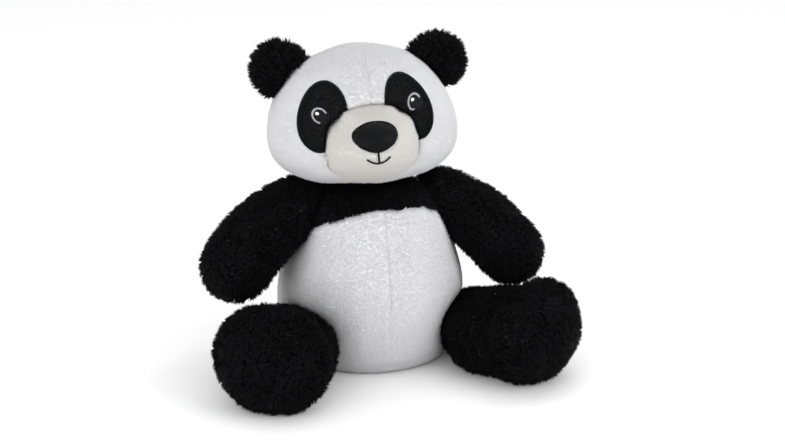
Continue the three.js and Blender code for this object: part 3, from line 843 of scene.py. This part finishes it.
HEAD_MIDDLE = Vector((-8, -4, 199)) * MM
HEAD_YAW = -4.0  # degrees
HEAD_ROLL = -1.5  # degrees
FACE_ROLL = -5.0  # degrees, the face is sewn on a little askew


def head_axes(roll: float) -> Matrix:
    """The axes of the head, or of the face on it, as the columns of a matrix."""
    return Matrix.Rotation(math.radians(HEAD_YAW), 3, "Z") @ Matrix.Rotation(math.radians(roll), 3, "Y")


def middle_of(node: str) -> Vector:
    """The middle of a CAD node's box."""
    low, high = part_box(node)
    return (low + high) / 2


def pivot_of(joint: str) -> Vector:
    """The place that a joint turns about."""
    return Vector(next(j for j in frame["joints"] if j["name"] == joint)["pos_m"])


def black_panel(piece: str, node: str, comb: Vector, pile: Pile = LONG_PILE) -> Panel:
    """A panel of long black plush."""
    return Panel(piece, node, BLACK_FIBRE, BLACK_BACKING, pile, comb)


def white_panel(piece: str, node: str, comb: Vector = DOWN) -> Panel:
    """A panel of short white plush."""
    return Panel(piece, node, WHITE_FIBRE, WHITE_BACKING, SHORT_PILE, comb)


# ---- Sub-assemblies ----------------------------------------------------------------


class Torso(SewnShape):
    """Belly, back, seat and black shoulder yoke."""

    def __init__(self) -> None:
        """Lists the torso's panels and fillings."""
        super().__init__(
            [
                white_panel("belly_left_plush", "belly_panel_left"),
                white_panel("belly_right_plush", "belly_panel_right"),
                black_panel("chest_plush", "chest_panel", DOWN, COLLAR_PILE),
                black_panel("upper_back_plush", "upper_back_panel", DOWN),
                white_panel("lower_back_left_plush", "lower_back_panel_left"),
                white_panel("lower_back_right_plush", "lower_back_panel_right"),
                white_panel("seat_plush", "seat_panel", Vector((0, 1, 0))),
            ],
            {
                "torso_stuffing": ("torso_fibre_filling", FIBRE_FILL),
                "seat_pellet_bag": ("seat_bean_bag", PELLET_BAG),
            },
            seam_planes=((Vector(), Vector((1, 0, 0))),),
            seam_depth=0.9 * MM,
            seam_width=2.2 * MM,
            seed=11,
        )

    def seam_place(self, middle: Vector) -> Vector:
        """The yoke's front edge is sewn a little higher on the toy's left."""
        higher, start, end = 5 * MM, 12 * MM, 40 * MM
        share = min(1.0, max(0.0, (middle.x - start) / (end - start))) if middle.y < 0 else 0.0
        return middle - Vector((0, 0, higher * share))

    def comb(self, panel: Panel, roots: np.ndarray) -> np.ndarray:
        """Down, but up against the head round the neck."""
        lay = super().comb(panel, roots)
        if panel.fibre is BLACK_FIBRE:
            ruff_level, ruff_rise, upwards = 0.140, 0.008, 0.03
            ruff = np.clip((roots[:, 2] - ruff_level) / ruff_rise, 0, 1)[:, None]
            lay = lay * (1 - ruff) + unit(roots * (1, 1, 0) + (0, 0, upwards)) * ruff
        return lay

    def build(self) -> None:
        """Builds the torso, which rides as it is."""
        super().build()
        for piece in self.pieces.values():
            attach(piece, "torso")


class Head(SewnShape):
    """The white head, without its muzzle and ears."""

    def __init__(self) -> None:
        """Lists the head's panels and filling."""
        out = Vector((0, 0.4, -1))
        super().__init__(
            [
                white_panel("head_left_plush", "head_panel_left", out),
                white_panel("head_right_plush", "head_panel_right", out),
                white_panel("head_back_plush", "head_back_panel"),
            ],
            {"head_stuffing": ("head_fibre_filling", FIBRE_FILL)},
            seam_planes=((HEAD_MIDDLE, head_axes(HEAD_ROLL) @ Vector((1, 0, 0))),),
            seam_depth=0.6 * MM,
            seam_width=2.2 * MM,
            seed=23,
        )

    def shape(self, bm: bmesh.types.BMesh) -> None:
        """Lifts the jaw, where the pile of the chest pushes up against it."""
        level, reach, lift = 199 * MM, 41 * MM, 4.2 * MM
        for v in bm.verts:
            v.co.z += lift * max(0.0, (level - v.co.z) / reach) ** 2
        bm.normal_update()

    def covered(self, roots: np.ndarray) -> np.ndarray:
        """No pile grows under the eye patches."""
        inner_share = 0.97
        return behind([EyePatch(side, FacePlane()).outline() for side in Side], roots, inner_share)

    def build(self) -> None:
        """Builds the head, which rides as it is."""
        super().build()
        for piece in self.pieces.values():
            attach(piece, "head")


class Muzzle(SewnShape):
    """The cream muzzle."""

    def __init__(self) -> None:
        """Lists the muzzle's panel and filling."""
        super().__init__(
            [Panel("muzzle_plush", "muzzle_panel", CREAM_FIBRE, CREAM_BACKING, MUZZLE_PILE, DOWN)],
            {"muzzle_stuffing": ("muzzle_fibre_filling", FIBRE_FILL)},
            grain=2.0 * MM,
            rounds=14,
            swell=0.2 * MM,
            lump=0.2 * MM,
            seed=31,
        )

    def shape(self, bm: bmesh.types.BMesh) -> None:
        """Rounds the muzzle's upper corners, one more than the other, where the patches press on it."""
        plane = FacePlane()
        middle_up, spread = 3 * MM, math.radians(26)
        for v in bm.verts:
            x, y, z = plane.flat(np.array(v.co))
            turn = math.atan2(z - middle_up, x)
            draw_in = 0.17 * math.exp(-(((turn - math.radians(148)) / spread) ** 2))
            draw_in += 0.12 * math.exp(-(((turn - math.radians(40)) / spread) ** 2))
            moved = np.array((x * (1 - draw_in), y, middle_up + (z - middle_up) * (1 - draw_in)))
            v.co = Vector(plane.axes @ moved) + plane.middle
        bm.normal_update()

    def covered(self, roots: np.ndarray) -> np.ndarray:
        """No pile grows under the nose."""
        inner_share = 0.9
        return behind([Nose(FacePlane()).outline()], roots, inner_share)

    def build(self) -> None:
        """Builds the muzzle, which rides on the head."""
        super().build()
        for piece in self.pieces.values():
            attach(piece, "head")


class JointedShape(SewnShape):
    """A limb, ear or tail whose fabric is sewn to the body that it moves on."""

    def join(
        self,
        parent: str,
        child: str,
        joint: str,
        before: float,
        after: float,
        riding: tuple[str, ...],
    ) -> None:
        """Attaches the fillings and the riding nodes to the body that they move with, and leaves the
        panels where they are.

        Args:
            parent: the body that it is sewn to; not used.
            child: the body that it moves with.
            joint: the joint between them.
            before: how far before the pivot the fabric starts to turn, in metres; not used.
            after: how far past the pivot it has turned; not used.
            riding: the nodes that move as a whole.
        """
        pivot = pivot_of(joint)
        way = (
            middle_of(self.panels[0].node) + middle_of(self.panels[1 % len(self.panels)].node)
        ) / 2 - pivot
        way.normalize()
        for node, piece in self.pieces.items():
            if node in self.fillings or node in riding:
                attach(piece, child)
            else:
                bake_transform(piece)


class Arm(JointedShape):
    """One black arm."""

    def __init__(self, side: Side) -> None:
        """Lists the arm's panels and filling."""
        self.side = side.value
        pivot = pivot_of(f"arm_raise_{self.side}")
        along = (middle_of(f"arm_stuffing_{self.side}") - pivot).normalized()
        super().__init__(
            [
                black_panel(f"arm_front_{self.side}_plush", f"arm_front_panel_{self.side}", along),
                black_panel(f"arm_back_{self.side}_plush", f"arm_back_panel_{self.side}", along),
            ],
            {f"arm_stuffing_{self.side}": (f"arm_{self.side}_fibre_filling", FIBRE_FILL)},
            rounds=30,
            seed=41 if side is Side.LEFT else 43,
        )

    def shape(self, bm: bmesh.types.BMesh) -> None:
        """Lets the paw of the right arm hang out a little, and slims the left one."""
        pivot = pivot_of(f"arm_raise_{self.side}")
        length, hang, slim = 90 * MM, Vector((-3.0, 0, -2.2)) * MM, 1.1 * MM
        for v in bm.verts:
            share = min(1.0, max(0.0, (v.co - pivot).length / length))
            if self.side == "right":
                v.co += hang * share**2
            else:
                v.co -= v.normal * slim * math.sin(math.pi * share)
        bm.normal_update()

    def build(self) -> None:
        """Builds the arm and joins it at the shoulder."""
        super().build()
        self.join("torso", f"arm_{self.side}", f"arm_raise_{self.side}", 12 * MM, 26 * MM, ())


class Leg(JointedShape):
    """One black leg with its foot."""

    def __init__(self, side: Side) -> None:
        """Lists the leg's panels and fillings."""
        self.side = side.value
        pivot = pivot_of(f"leg_spread_{self.side}")
        along = (middle_of(f"sole_panel_{self.side}") - pivot).normalized()
        super().__init__(
            [
                black_panel(f"leg_outer_{self.side}_plush", f"leg_outer_panel_{self.side}", along),
                black_panel(f"leg_inner_{self.side}_plush", f"leg_inner_panel_{self.side}", along),
                black_panel(f"sole_{self.side}_plush", f"sole_panel_{self.side}", DOWN),
            ],
            {
                f"leg_stuffing_{self.side}": (f"leg_{self.side}_fibre_filling", FIBRE_FILL),
                f"foot_pellet_bag_{self.side}": (f"foot_{self.side}_bean_bag", PELLET_BAG),
            },
            rounds=48,
            seed=51 if side is Side.LEFT else 53,
        )

    def shape(self, bm: bmesh.types.BMesh) -> None:
        """Lets the thigh sag: its top leans away from the belly and its underside spreads."""
        pivot = pivot_of(f"leg_spread_{self.side}")
        sign = 1 if self.side == "left" else -1
        length, height = 80 * MM, 70 * MM
        lean, forward, lower = 8 * MM, 9 * MM, 9 * MM
        fades_at, upright_at, spreads_below, sags_above = 1.15, 0.45, 0.6, 0.3
        for v in bm.verts:
            thigh = min(1.0, max(0.0, fades_at - (v.co - pivot).xy.length / length))
            level = v.co.z / height
            v.co.x += sign * lean * (level - upright_at) * thigh
            v.co.y -= forward * max(0.0, spreads_below - level) * thigh
            v.co.z -= lower * max(0.0, level - sags_above) * thigh
            v.co.z = max(v.co.z, FLOOR_CLEAR)
        if self.side == "left":
            self.lift_toe(bm, pivot, length)
        bm.normal_update()

    def lift_toe(self, bm: bmesh.types.BMesh, pivot: Vector, length: float) -> None:
        """Tucks the lower edge of the left foot under."""
        tuck, below, starts_at, runs_in = 9 * MM, 34 * MM, 0.7, 0.4
        for v in bm.verts:
            past = (v.co - pivot).xy.length - starts_at * length
            foot = min(1.0, max(0.0, past / (runs_in * length)))
            v.co.y += tuck * foot * max(0.0, 1 - v.co.z / below)

    def build(self) -> None:
        """Builds the leg and joins it at the hip."""
        super().build()
        sole = (f"sole_panel_{self.side}",)
        self.join("torso", f"leg_{self.side}", f"leg_spread_{self.side}", 15 * MM, 30 * MM, sole)


class Ear(JointedShape):
    """One black ear."""

    def __init__(self, side: Side) -> None:
        """Lists the ear's panels."""
        self.side = side.value
        pivot = pivot_of(f"ear_fold_{self.side}")
        self.out = (middle_of(f"ear_front_{self.side}") - pivot).normalized()
        super().__init__(
            [
                black_panel(
                    f"ear_front_{self.side}_plush", f"ear_front_{self.side}", self.out, EAR_PILE
                ),
                black_panel(f"ear_back_{self.side}_plush", f"ear_back_{self.side}", self.out, EAR_PILE),
            ],
            {},
            grain=2.0 * MM,
            rounds=14,
            seed=61 if side is Side.LEFT else 63,
        )

    def shape(self, bm: bmesh.types.BMesh) -> None:
        """Draws the ear's root down into the pile of the head."""
        root_height, pull = 8 * MM, 0.55
        pivot = pivot_of(f"ear_fold_{self.side}")
        for v in bm.verts:
            above = (v.co - pivot).dot(self.out)
            v.co -= self.out * max(0.0, root_height - above) * pull
        bm.normal_update()

    def build(self) -> None:
        """Builds the ear; with no filling or riding node, its panels stay where they are."""
        super().build()
        self.join("head", f"ear_{self.side}", f"ear_fold_{self.side}", 2 * MM, 9 * MM, ())


class Tail(JointedShape):
    """The short white tail."""

    def __init__(self) -> None:
        """Lists the tail's one panel."""
        super().__init__(
            [white_panel("tail_plush", "tail", Vector((0, 1, -0.4)))], {}, rounds=12, seed=71
        )

    def build(self) -> None:
        """Builds the tail; with no filling or riding node, its panel stays where it is."""
        super().build()
        self.join("torso", "tail", "tail_wag", 4 * MM, 9 * MM, ())


class Neck(SewnShape):
    """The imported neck, in a sleeve of black plush."""

    def __init__(self) -> None:
        """Lists the neck's one panel."""
        super().__init__(
            [black_panel("neck_plush", "neck_stuffing", DOWN, COLLAR_PILE)], {}, rounds=6, seed=91
        )

    def build(self) -> None:
        """Builds the neck, which turns with the head."""
        super().build()
        for piece in self.pieces.values():
            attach(piece, "neck")


# ---- Embroidery --------------------------------------------------------------------


def stitch_template() -> tuple[np.ndarray, list[list[int]]]:
    """One satin stitch: a five-sided thread of unit radius from -1 to 1, thin where it dives."""
    bm = bmesh.new()
    bmesh.ops.create_cone(bm, cap_ends=True, segments=5, radius1=0.35, radius2=0.35, depth=2.0)
    full_rings = (-0.88, -0.4, 0.4, 0.88)
    for height in full_rings:
        geometry = bm.verts[:] + bm.edges[:] + bm.faces[:]
        bmesh.ops.bisect_plane(bm, geom=geometry, plane_co=(0, 0, height), plane_no=(0, 0, 1))
    inner = [v for v in bm.verts if abs(v.co.z) < 0.95]
    bmesh.ops.scale(bm, verts=inner, vec=(1 / 0.35, 1 / 0.35, 1))
    bm.verts.index_update()
    points = np.array([v.co[:] for v in bm.verts])
    faces = [[v.index for v in f.verts] for f in bm.faces]
    bm.free()
    return points, faces


@dataclass
class FacePlane:
    """The plane that the face is laid out in: x across, z up, y into the head."""

    middle: Vector = field(default_factory=HEAD_MIDDLE.copy)
    surfaces: list[BVHTree] = field(default_factory=list)

    def __post_init__(self) -> None:
        """Works out the plane's axes."""
        self.axes = np.array(head_axes(FACE_ROLL))

    def flat(self, points: np.ndarray) -> np.ndarray:
        """Places of points in the plane's own axes."""
        return (points - np.array(self.middle)) @ self.axes

    def lay(self, x: float, z: float) -> tuple[Vector, Vector, int]:
        """Where a place on the plane lands on the face.

        Args:
            x: across, in metres.
            z: up, in metres.

        Returns:
            The place, the direction that the surface faces, and which surface it is.
        """
        start = Vector(self.axes @ np.array((x, -0.2, z))) + self.middle
        inwards = Vector(self.axes @ np.array((0.0, 1.0, 0.0)))
        hits = [
            (*surface.ray_cast(start, inwards), number) for number, surface in enumerate(self.surfaces)
        ]
        place, normal, _, _, number = min((h for h in hits if h[0] is not None), key=lambda h: h[3])
        return place, normal, number

    def cut_short(self, middle: np.ndarray, outline: np.ndarray, margin: float) -> np.ndarray:
        """Draws an outline on the head in to where the muzzle starts.

        Args:
            middle: the place that the outline is drawn in towards.
            outline: the outline.
            margin: how far it stays clear of the muzzle.

        Returns:
            The shortened outline.
        """
        shares = []
        for place in outline:
            reach = np.linalg.norm(place - middle)
            share = 1.0
            while share > 0.2 and self.lay(*(middle + (place - middle) * (share + margin / reach)))[2]:
                share -= 0.02
            shares.append(share)
        return middle + (outline - middle) * np.array(shares)[:, None]


def oval(
    middle: tuple[float, float],
    width: float,
    height: float,
    count: int,
    tilt: float = 0.0,
    egg: float = 0.0,
) -> np.ndarray:
    """An egg-shaped ring of places on the face's plane.

    Args:
        middle: its middle.
        width: its width before the tilt.
        height: its height before the tilt.
        count: how many places.
        tilt: its tilt in degrees.
        egg: share that its lower end is wider by.

    Returns:
        The ring.
    """
    turns = np.linspace(0, 2 * math.pi, count, endpoint=False)
    across = width / 2 * np.cos(turns) * (1 - egg * np.sin(turns))
    up = height / 2 * np.sin(turns)
    c, d = math.cos(math.radians(tilt)), math.sin(math.radians(tilt))
    return np.array(middle) + np.stack([across * c - up * d, across * d + up * c], 1)


@dataclass
class Embroidery:
    """Satin stitches laid on the face. Lengths are in metres."""

    plane: FacePlane
    thread: float = 0.30 * MM  # half the thickness of a stitch
    pitch: float = 0.46 * MM
    lift: float = 0.35 * MM

    def stitches(
        self,
        parts: MeshParts,
        ends: list[tuple[np.ndarray, np.ndarray]],
        raise_by: float,
    ) -> None:
        """Adds one stitch between each pair of places on the plane.

        Args:
            parts: the mesh under construction.
            ends: the two ends of each stitch.
            raise_by: how far off the surface they lie.
        """
        template, faces = stitch_template()
        points, frames = [], []
        for first, second in ends:
            (a, na, from_surface), (b, nb, to_surface) = self.plane.lay(*first), self.plane.lay(*second)
            middle = (first + second) / 2
            m, nm, over_surface = self.plane.lay(*middle)
            if not from_surface == to_surface == over_surface:
                continue
            out = (na + nb + nm).normalized()
            along = (b - a) / 2
            if along.length < 1e-6:
                continue
            side = along.cross(out).normalized()
            bow = m - (a + b) / 2
            frames.append([np.array(v) for v in ((a + b) / 2 + out * raise_by, along, side, out, bow)])
        for centre, along, side, out, bow in frames:
            t = template[:, 2:3]
            arch = (1 - t**2) * (bow + out * self.lift)
            across = template[:, 0:1] * side + template[:, 1:2] * out
            points.append(centre + t * along + arch + across * self.thread)
        flat = np.concatenate([np.array(f) for f in faces])
        first = np.arange(len(points)) * len(template)
        corners = (first[:, None] + flat[None]).ravel()
        sizes = np.tile([len(f) for f in faces], len(points))
        parts.add(np.concatenate(points), sizes, corners, np.zeros(len(sizes), int))

    def along(self, path: np.ndarray, half_width: float, closed: bool, slant: float = 0.0) -> list:
        """Ends of satin stitches laid across a path.

        Args:
            path: the path on the plane.
            half_width: half the width of the satin line.
            closed: whether the path ends where it starts.
            slant: how far the stitches lean along the path.

        Returns:
            The two ends of each stitch.
        """
        ring = np.vstack([path, path[:1]]) if closed else path
        steps = np.linalg.norm(np.diff(ring, axis=0), axis=1)
        reach = np.concatenate([[0], np.cumsum(steps)])
        places = np.arange(self.pitch / 2, reach[-1], self.pitch)
        at = np.stack([np.interp(places, reach, ring[:, k]) for k in range(2)], 1)
        ahead = np.stack([np.interp(places + 0.4 * MM, reach, ring[:, k]) for k in range(2)], 1)
        behind = np.stack([np.interp(places - 0.4 * MM, reach, ring[:, k]) for k in range(2)], 1)
        way = ahead - behind
        way /= np.linalg.norm(way, axis=1, keepdims=True)
        cross = np.stack([-way[:, 1], way[:, 0]], 1) + way * slant
        return [(p - c * half_width, p + c * half_width) for p, c in zip(at, cross)]

    def filled(self, outline: np.ndarray) -> list:
        """Ends of upright satin stitches that fill an outline."""
        ends = []
        for x in np.arange(outline[:, 0].min() + self.pitch / 2, outline[:, 0].max(), self.pitch):
            crossing = []
            for a, b in zip(outline, np.roll(outline, -1, axis=0)):
                if (a[0] - x) * (b[0] - x) < 0:
                    crossing.append(a[1] + (b[1] - a[1]) * (x - a[0]) / (b[0] - a[0]))
            if len(crossing) > 1:
                ends.append((np.array((x, min(crossing))), np.array((x, max(crossing)))))
        return ends

    def sew(
        self,
        name: str,
        node: str | None,
        finish: ThreadFinish,
        ends: list,
        raise_by: float,
    ) -> None:
        """Makes a piece of stitches that rides on the head.

        Args:
            name: the piece's name.
            node: the CAD node that it stands for, if any.
            finish: its thread.
            ends: the two ends of each stitch.
            raise_by: how far off the surface the stitches lie.
        """
        parts = MeshParts()
        self.stitches(parts, ends, raise_by)
        piece = parts.make(name, [material_of(finish)])
        if node:
            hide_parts(node)
        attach(piece, "head")
        log.info("%s: %d stitches", name, len(ends))


@dataclass
class EyePatch:
    """A black eye patch with its satin-stitched edges and the embroidered eye on it."""

    side: Side
    plane: FacePlane
    width: float = 36.5 * MM
    height: float = 55.5 * MM
    spacing: float = 69 * MM
    aside: float = 2 * MM  # the pair is sewn this far to the toy's right
    up: float = 27 * MM
    tilt: float = 20.0
    egg: float = 0.08
    cloth_lift: float = 0.9 * MM
    rings: int = 18
    sectors: int = 72
    margin: float = 0.8 * MM  # it stops this far short of another surface
    thickness: float = 0.7 * MM
    root_depth: float = 0.3 * MM
    thread_lift: float = 1.7 * MM
    edge_at: float = 0.975  # share of the way out to the edge
    edge_half_width: float = 1.0 * MM
    inner_at: float = 0.87
    inner_half_width: float = 0.5 * MM
    seed: int = 81

    def outline(self) -> np.ndarray:
        """The patch's whole edge on the plane."""
        sign = 1 if self.side is Side.LEFT else -1
        middle = (sign * self.spacing / 2 - self.aside, self.up)
        return oval(middle, self.width, self.height, self.sectors, self.tilt * sign, self.egg)

    def cloth(self, outline: np.ndarray) -> bmesh.types.BMesh:
        """The patch's cloth: a disc that follows the face inside the outline."""
        bm = bmesh.new()
        bmesh.ops.create_grid(bm, x_segments=self.sectors, y_segments=self.rings, size=1)
        middle = self.outline().mean(0)
        turns = np.linspace(0, 1, len(outline) + 1)
        ring = np.vstack([outline, outline[:1]])
        for v in bm.verts:
            share, turn = (v.co.y + 1) / 2, (v.co.x + 1) / 2
            edge = np.array([np.interp(turn, turns, ring[:, k]) for k in range(2)])
            place, normal, _ = self.plane.lay(*(middle + (edge - middle) * share))
            v.co = place + normal * self.cloth_lift
        bmesh.ops.remove_doubles(bm, verts=bm.verts, dist=0.02 * MM)
        bmesh.ops.recalc_face_normals(bm, faces=bm.faces)
        ahead = self.plane.axes @ np.array((0.0, -1.0, 0.0))
        if sum(f.normal.dot(ahead) * f.calc_area() for f in bm.faces) < 0:
            bmesh.ops.reverse_faces(bm, faces=bm.faces)
        bm.normal_update()
        return bm

    def build(self, head: SewnShape, embroidery: Embroidery) -> None:
        """Builds the patch and its edge stitching.

        Args:
            head: the head, for how pile is made.
            embroidery: the stitches' maker.
        """
        node = f"eye_patch_{self.side.value}"
        whole = self.outline()
        outline = self.plane.cut_short(whole.mean(0), whole, self.margin)
        bm = self.cloth(outline)
        panel = Panel(f"{node}_plush", node, PATCH_FIBRE, BLACK_BACKING, PATCH_PILE, DOWN)
        draw = np.random.default_rng(self.seed)
        roots, normals = head.roots(bm, panel.pile, draw)
        tips = head.tips(panel, roots, normals, draw)
        thicken(bm, self.thickness)
        parts = MeshParts()
        parts.add_bmesh(bm, 0)
        bm.free()
        slots = draw.integers(1, len(panel.fibre.tones) + 1, len(roots))
        parts.add_tufts(panel.pile, roots - normals * self.root_depth, normals, tips, slots)
        piece = parts.make(panel.piece, [material_of(panel.backing)] + fibres_of(panel.fibre))
        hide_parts(node)
        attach(piece, "head")
        middle = whole.mean(0)
        edge_line = middle + (outline - middle) * self.edge_at
        inner_line = middle + (outline - middle) * self.inner_at
        edge = embroidery.along(edge_line, self.edge_half_width, True)
        inner = embroidery.along(inner_line, self.inner_half_width, True)
        embroidery.sew(f"{node}_edge_stitching", None, EDGE_THREAD, edge + inner, self.thread_lift)


@dataclass
class Eye:
    """The embroidered eye: a dark disc, an open ring and a spark of light."""

    side: Side
    plane: FacePlane
    disc_width: float = 15 * MM
    spark_width: float = 2.6 * MM
    spark_off: float = 1.56 * MM
    spacing: float = 76 * MM
    aside: float = 0.8 * MM
    up: float = 29 * MM
    left_higher: float = 2.4 * MM  # the left eye is sewn this much higher
    ring_start: float = 20.0  # degrees, the ring runs from here
    ring_end: float = 262.0
    ring_reach: float = 5.3 * MM
    ring_half_width: float = 0.72 * MM
    disc_lift: float = 1.9 * MM
    thread_lift: float = 2.45 * MM

    def build(self, embroidery: Embroidery) -> None:
        """Sews the eye's three layers."""
        side = self.side.value
        sign = 1 if self.side is Side.LEFT else -1
        higher = self.left_higher if self.side is Side.LEFT else 0.0
        middle = np.array((sign * self.spacing / 2 - self.aside, self.up + higher))
        disc = oval(middle, self.disc_width, self.disc_width, 40)
        embroidery.sew(
            f"eye_disc_{side}", f"eye_{side}", EYE_THREAD, embroidery.filled(disc), self.disc_lift
        )
        turns = np.radians(np.linspace(self.ring_start, self.ring_end, 60))
        arc = middle + np.stack([np.cos(turns), np.sin(turns)], 1) * self.ring_reach
        ring = embroidery.along(arc, self.ring_half_width, False)
        embroidery.sew(
            f"eye_ring_stitches_{side}", f"eye_ring_{side}", GREY_THREAD, ring, self.thread_lift
        )
        spark_middle = middle + np.array((-self.spark_off, self.spark_off))
        spark = embroidery.filled(oval(spark_middle, self.spark_width, self.spark_width, 24))
        embroidery.sew(
            f"eye_spark_stitches_{side}", f"eye_spark_{side}", WHITE_THREAD, spark, self.thread_lift
        )


@dataclass
class Nose:
    """The padded satin nose with its stitched edge, and the mouth under it."""

    plane: FacePlane
    width: float = 36 * MM
    height: float = 22 * MM
    up: float = 13.5 * MM
    taper: float = 0.35
    smile_low: float = -6.0 * MM
    smile_reach: float = 9.2 * MM
    smile_rise: float = 4.16 * MM
    line_half_width: float = 0.85 * MM

    def outline(self) -> np.ndarray:
        """The nose's edge on the plane, narrower at its lower end."""
        ring = oval((0, 0), self.width, self.height, 60)
        low = np.minimum(ring[:, 1], 0) / (self.height / 2)
        ring[:, 0] *= 1 - self.taper * low**2
        return ring + np.array((0, self.up))

    def pad(self) -> None:
        """Builds the padded nose."""
        bm = remeshed(["nose_pad"], 0.8 * MM)
        relax(bm, 14, 0.7 * MM)
        parts = MeshParts()
        parts.add_bmesh(bm, 0)
        bm.free()
        piece = parts.make("nose_satin_pad", [material_of(BLACK_SATIN)])
        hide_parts("nose_pad")
        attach(piece, "head")

    def build(self, embroidery: Embroidery) -> None:
        """Builds the pad, sews its edge and sews the mouth."""
        self.pad()
        outline = self.outline()
        middle = outline.mean(0)
        edge = embroidery.along(middle + (outline - middle) * 0.94, 1.1 * MM, True, slant=0.3)
        embroidery.sew("nose_edge_stitching", None, BLACK_THREAD, edge, 1.3 * MM)
        under_nose = outline[:, 1].min() + 1.5 * MM
        upright = np.stack([np.zeros(20), np.linspace(under_nose, self.smile_low, 20)], 1)
        shares = np.linspace(-1, 1, 30)
        smile = np.stack([shares * self.smile_reach, self.smile_low + shares**2 * self.smile_rise], 1)
        mouth = embroidery.along(upright, self.line_half_width, False, slant=0.5)
        mouth += embroidery.along(smile, self.line_half_width * 0.85, False, slant=0.5)
        embroidery.sew("mouth_embroidery", "mouth_stitches", BLACK_THREAD, mouth, 1.5 * MM)


class Face:
    """Everything that is sewn on the head."""

    def build(self, head: "Head", muzzle: "Muzzle") -> None:
        """Builds patches, eyes, nose and mouth on the finished head and muzzle."""
        plane = FacePlane(surfaces=[head.surface, muzzle.surface])
        embroidery = Embroidery(plane)
        for side in Side:
            EyePatch(side, plane).build(head, embroidery)
            Eye(side, plane).build(embroidery)
        Nose(plane).build(embroidery)


def inside(outline: np.ndarray, places: np.ndarray) -> np.ndarray:
    """Which places on the face's plane lie inside a closed outline."""
    result = np.zeros(len(places), bool)
    for (ax, az), (bx, bz) in zip(outline, np.roll(outline, -1, axis=0)):
        spans = (az > places[:, 1]) != (bz > places[:, 1])
        if az == bz:
            continue
        crossing = ax + (places[:, 1] - az) * (bx - ax) / (bz - az)
        result ^= spans & (places[:, 0] < crossing)
    return result


def behind(outlines: list[np.ndarray], roots: np.ndarray, shrink: float) -> np.ndarray:
    """Which roots on the front of the head lie behind any of these outlines.

    Args:
        outlines: closed outlines on the face's plane.
        roots: the roots.
        shrink: share of each outline that counts.

    Returns:
        One truth value for each root.
    """
    flat = FacePlane().flat(roots)
    result = np.zeros(len(roots), bool)
    for outline in outlines:
        middle = outline.mean(0)
        result |= inside(middle + (outline - middle) * shrink, flat[:, [0, 2]]) & (flat[:, 1] < 0)
    return result


# ---- Studio ------------------------------------------------------------------------


@dataclass
class Studio:
    """Pale floor, soft light and the camera. Lengths are in metres, angles in degrees."""

    azimuth: float = -14.0
    elevation: float = 17.0
    distance: float = 1.3
    aim_side: float = 0.0195
    aim_height: float = 0.117
    view_width: float = 0.68295  # what the camera sees across at the aim point
    floor_size: float = 12.0

    def camera(self) -> None:
        """Places the camera."""
        turn, rise = math.radians(self.azimuth), math.radians(self.elevation)
        forward = Vector(
            (-math.sin(turn) * math.cos(rise), math.cos(turn) * math.cos(rise), -math.sin(rise))
        )
        right = Vector((math.cos(turn), math.sin(turn), 0))
        aim = right * self.aim_side + Vector((0, 0, self.aim_height))
        data = bpy.data.cameras.new("studio_camera")
        data.sensor_width = 36.0
        data.lens = data.sensor_width * self.distance / self.view_width
        data.clip_start, data.clip_end = 0.05, 50.0
        camera = bpy.data.objects.new("studio_camera", data)
        camera.location = aim - forward * self.distance
        camera.rotation_mode = "QUATERNION"
        camera.rotation_quaternion = forward.to_track_quat("-Z", "Y")
        bpy.context.scene.collection.objects.link(camera)
        bpy.context.scene.camera = camera

    def floor(self) -> None:
        """Lays a plain pale floor."""
        bm = bmesh.new()
        bmesh.ops.create_grid(bm, x_segments=4, y_segments=4, size=self.floor_size / 2)
        mesh = bpy.data.meshes.new("studio_floor")
        bm.to_mesh(mesh)
        bm.free()
        material, _, shader = new_material("pale_floor")
        shader.inputs["Base Color"].default_value = (0.97, 0.97, 0.97, 1)
        shader.inputs["Roughness"].default_value = 0.9
        shader.inputs["Specular IOR Level"].default_value = 0.1
        mesh.materials.append(material)
        floor = bpy.data.objects.new("studio_floor", mesh)
        bpy.context.scene.collection.objects.link(floor)

    def lamp(self, name: str, place: Vector, size: float, power: float) -> None:
        """Hangs a soft square lamp that shines at the toy.

        Args:
            name: its name.
            place: where it hangs.
            size: its side.
            power: its power in watts.
        """
        data = bpy.data.lights.new(name, "AREA")
        data.shape = "SQUARE"
        data.size = size
        data.energy = power
        lamp = bpy.data.objects.new(name, data)
        lamp.location = place
        lamp.rotation_mode = "QUATERNION"
        lamp.rotation_quaternion = (Vector((0, 0, self.aim_height)) - place).to_track_quat("-Z", "Y")
        bpy.context.scene.collection.objects.link(lamp)

    def light(self) -> None:
        """Soft light all round, with a stronger lamp on the toy's left and a weak one above."""
        world = bpy.data.worlds.new("studio_air")
        world.use_nodes = True
        world.node_tree.nodes["Background"].inputs["Color"].default_value = (1, 1, 1, 1)
        world.node_tree.nodes["Background"].inputs["Strength"].default_value = 0.94
        bpy.context.scene.world = world
        self.lamp("key_lamp", Vector((1.2, -1.3, 0.9)), 1.2, 14.0)
        self.lamp("top_lamp", Vector((0.5, 0.2, 1.9)), 1.6, 5.0)
        self.lamp("fill_lamp", Vector((-1.2, -1.2, 0.6)), 1.4, 12.5)
        bpy.context.scene.view_settings.view_transform = "Standard"

    def build(self) -> None:
        """Builds the whole studio."""
        self.camera()
        self.floor()
        self.light()


def main() -> None:
    logging.basicConfig(level=logging.INFO, format="%(name)s: %(message)s")
    head, muzzle = Head(), Muzzle()
    parts = [Torso(), head, muzzle, Neck()]
    parts += [kind(side) for kind in (Arm, Leg, Ear) for side in Side]
    parts.append(Tail())
    for part in parts:
        part.build()
        log.info("built %s", type(part).__name__)
    Face().build(head, muzzle)
    Studio().build()


if __name__ == "__main__":
    main()
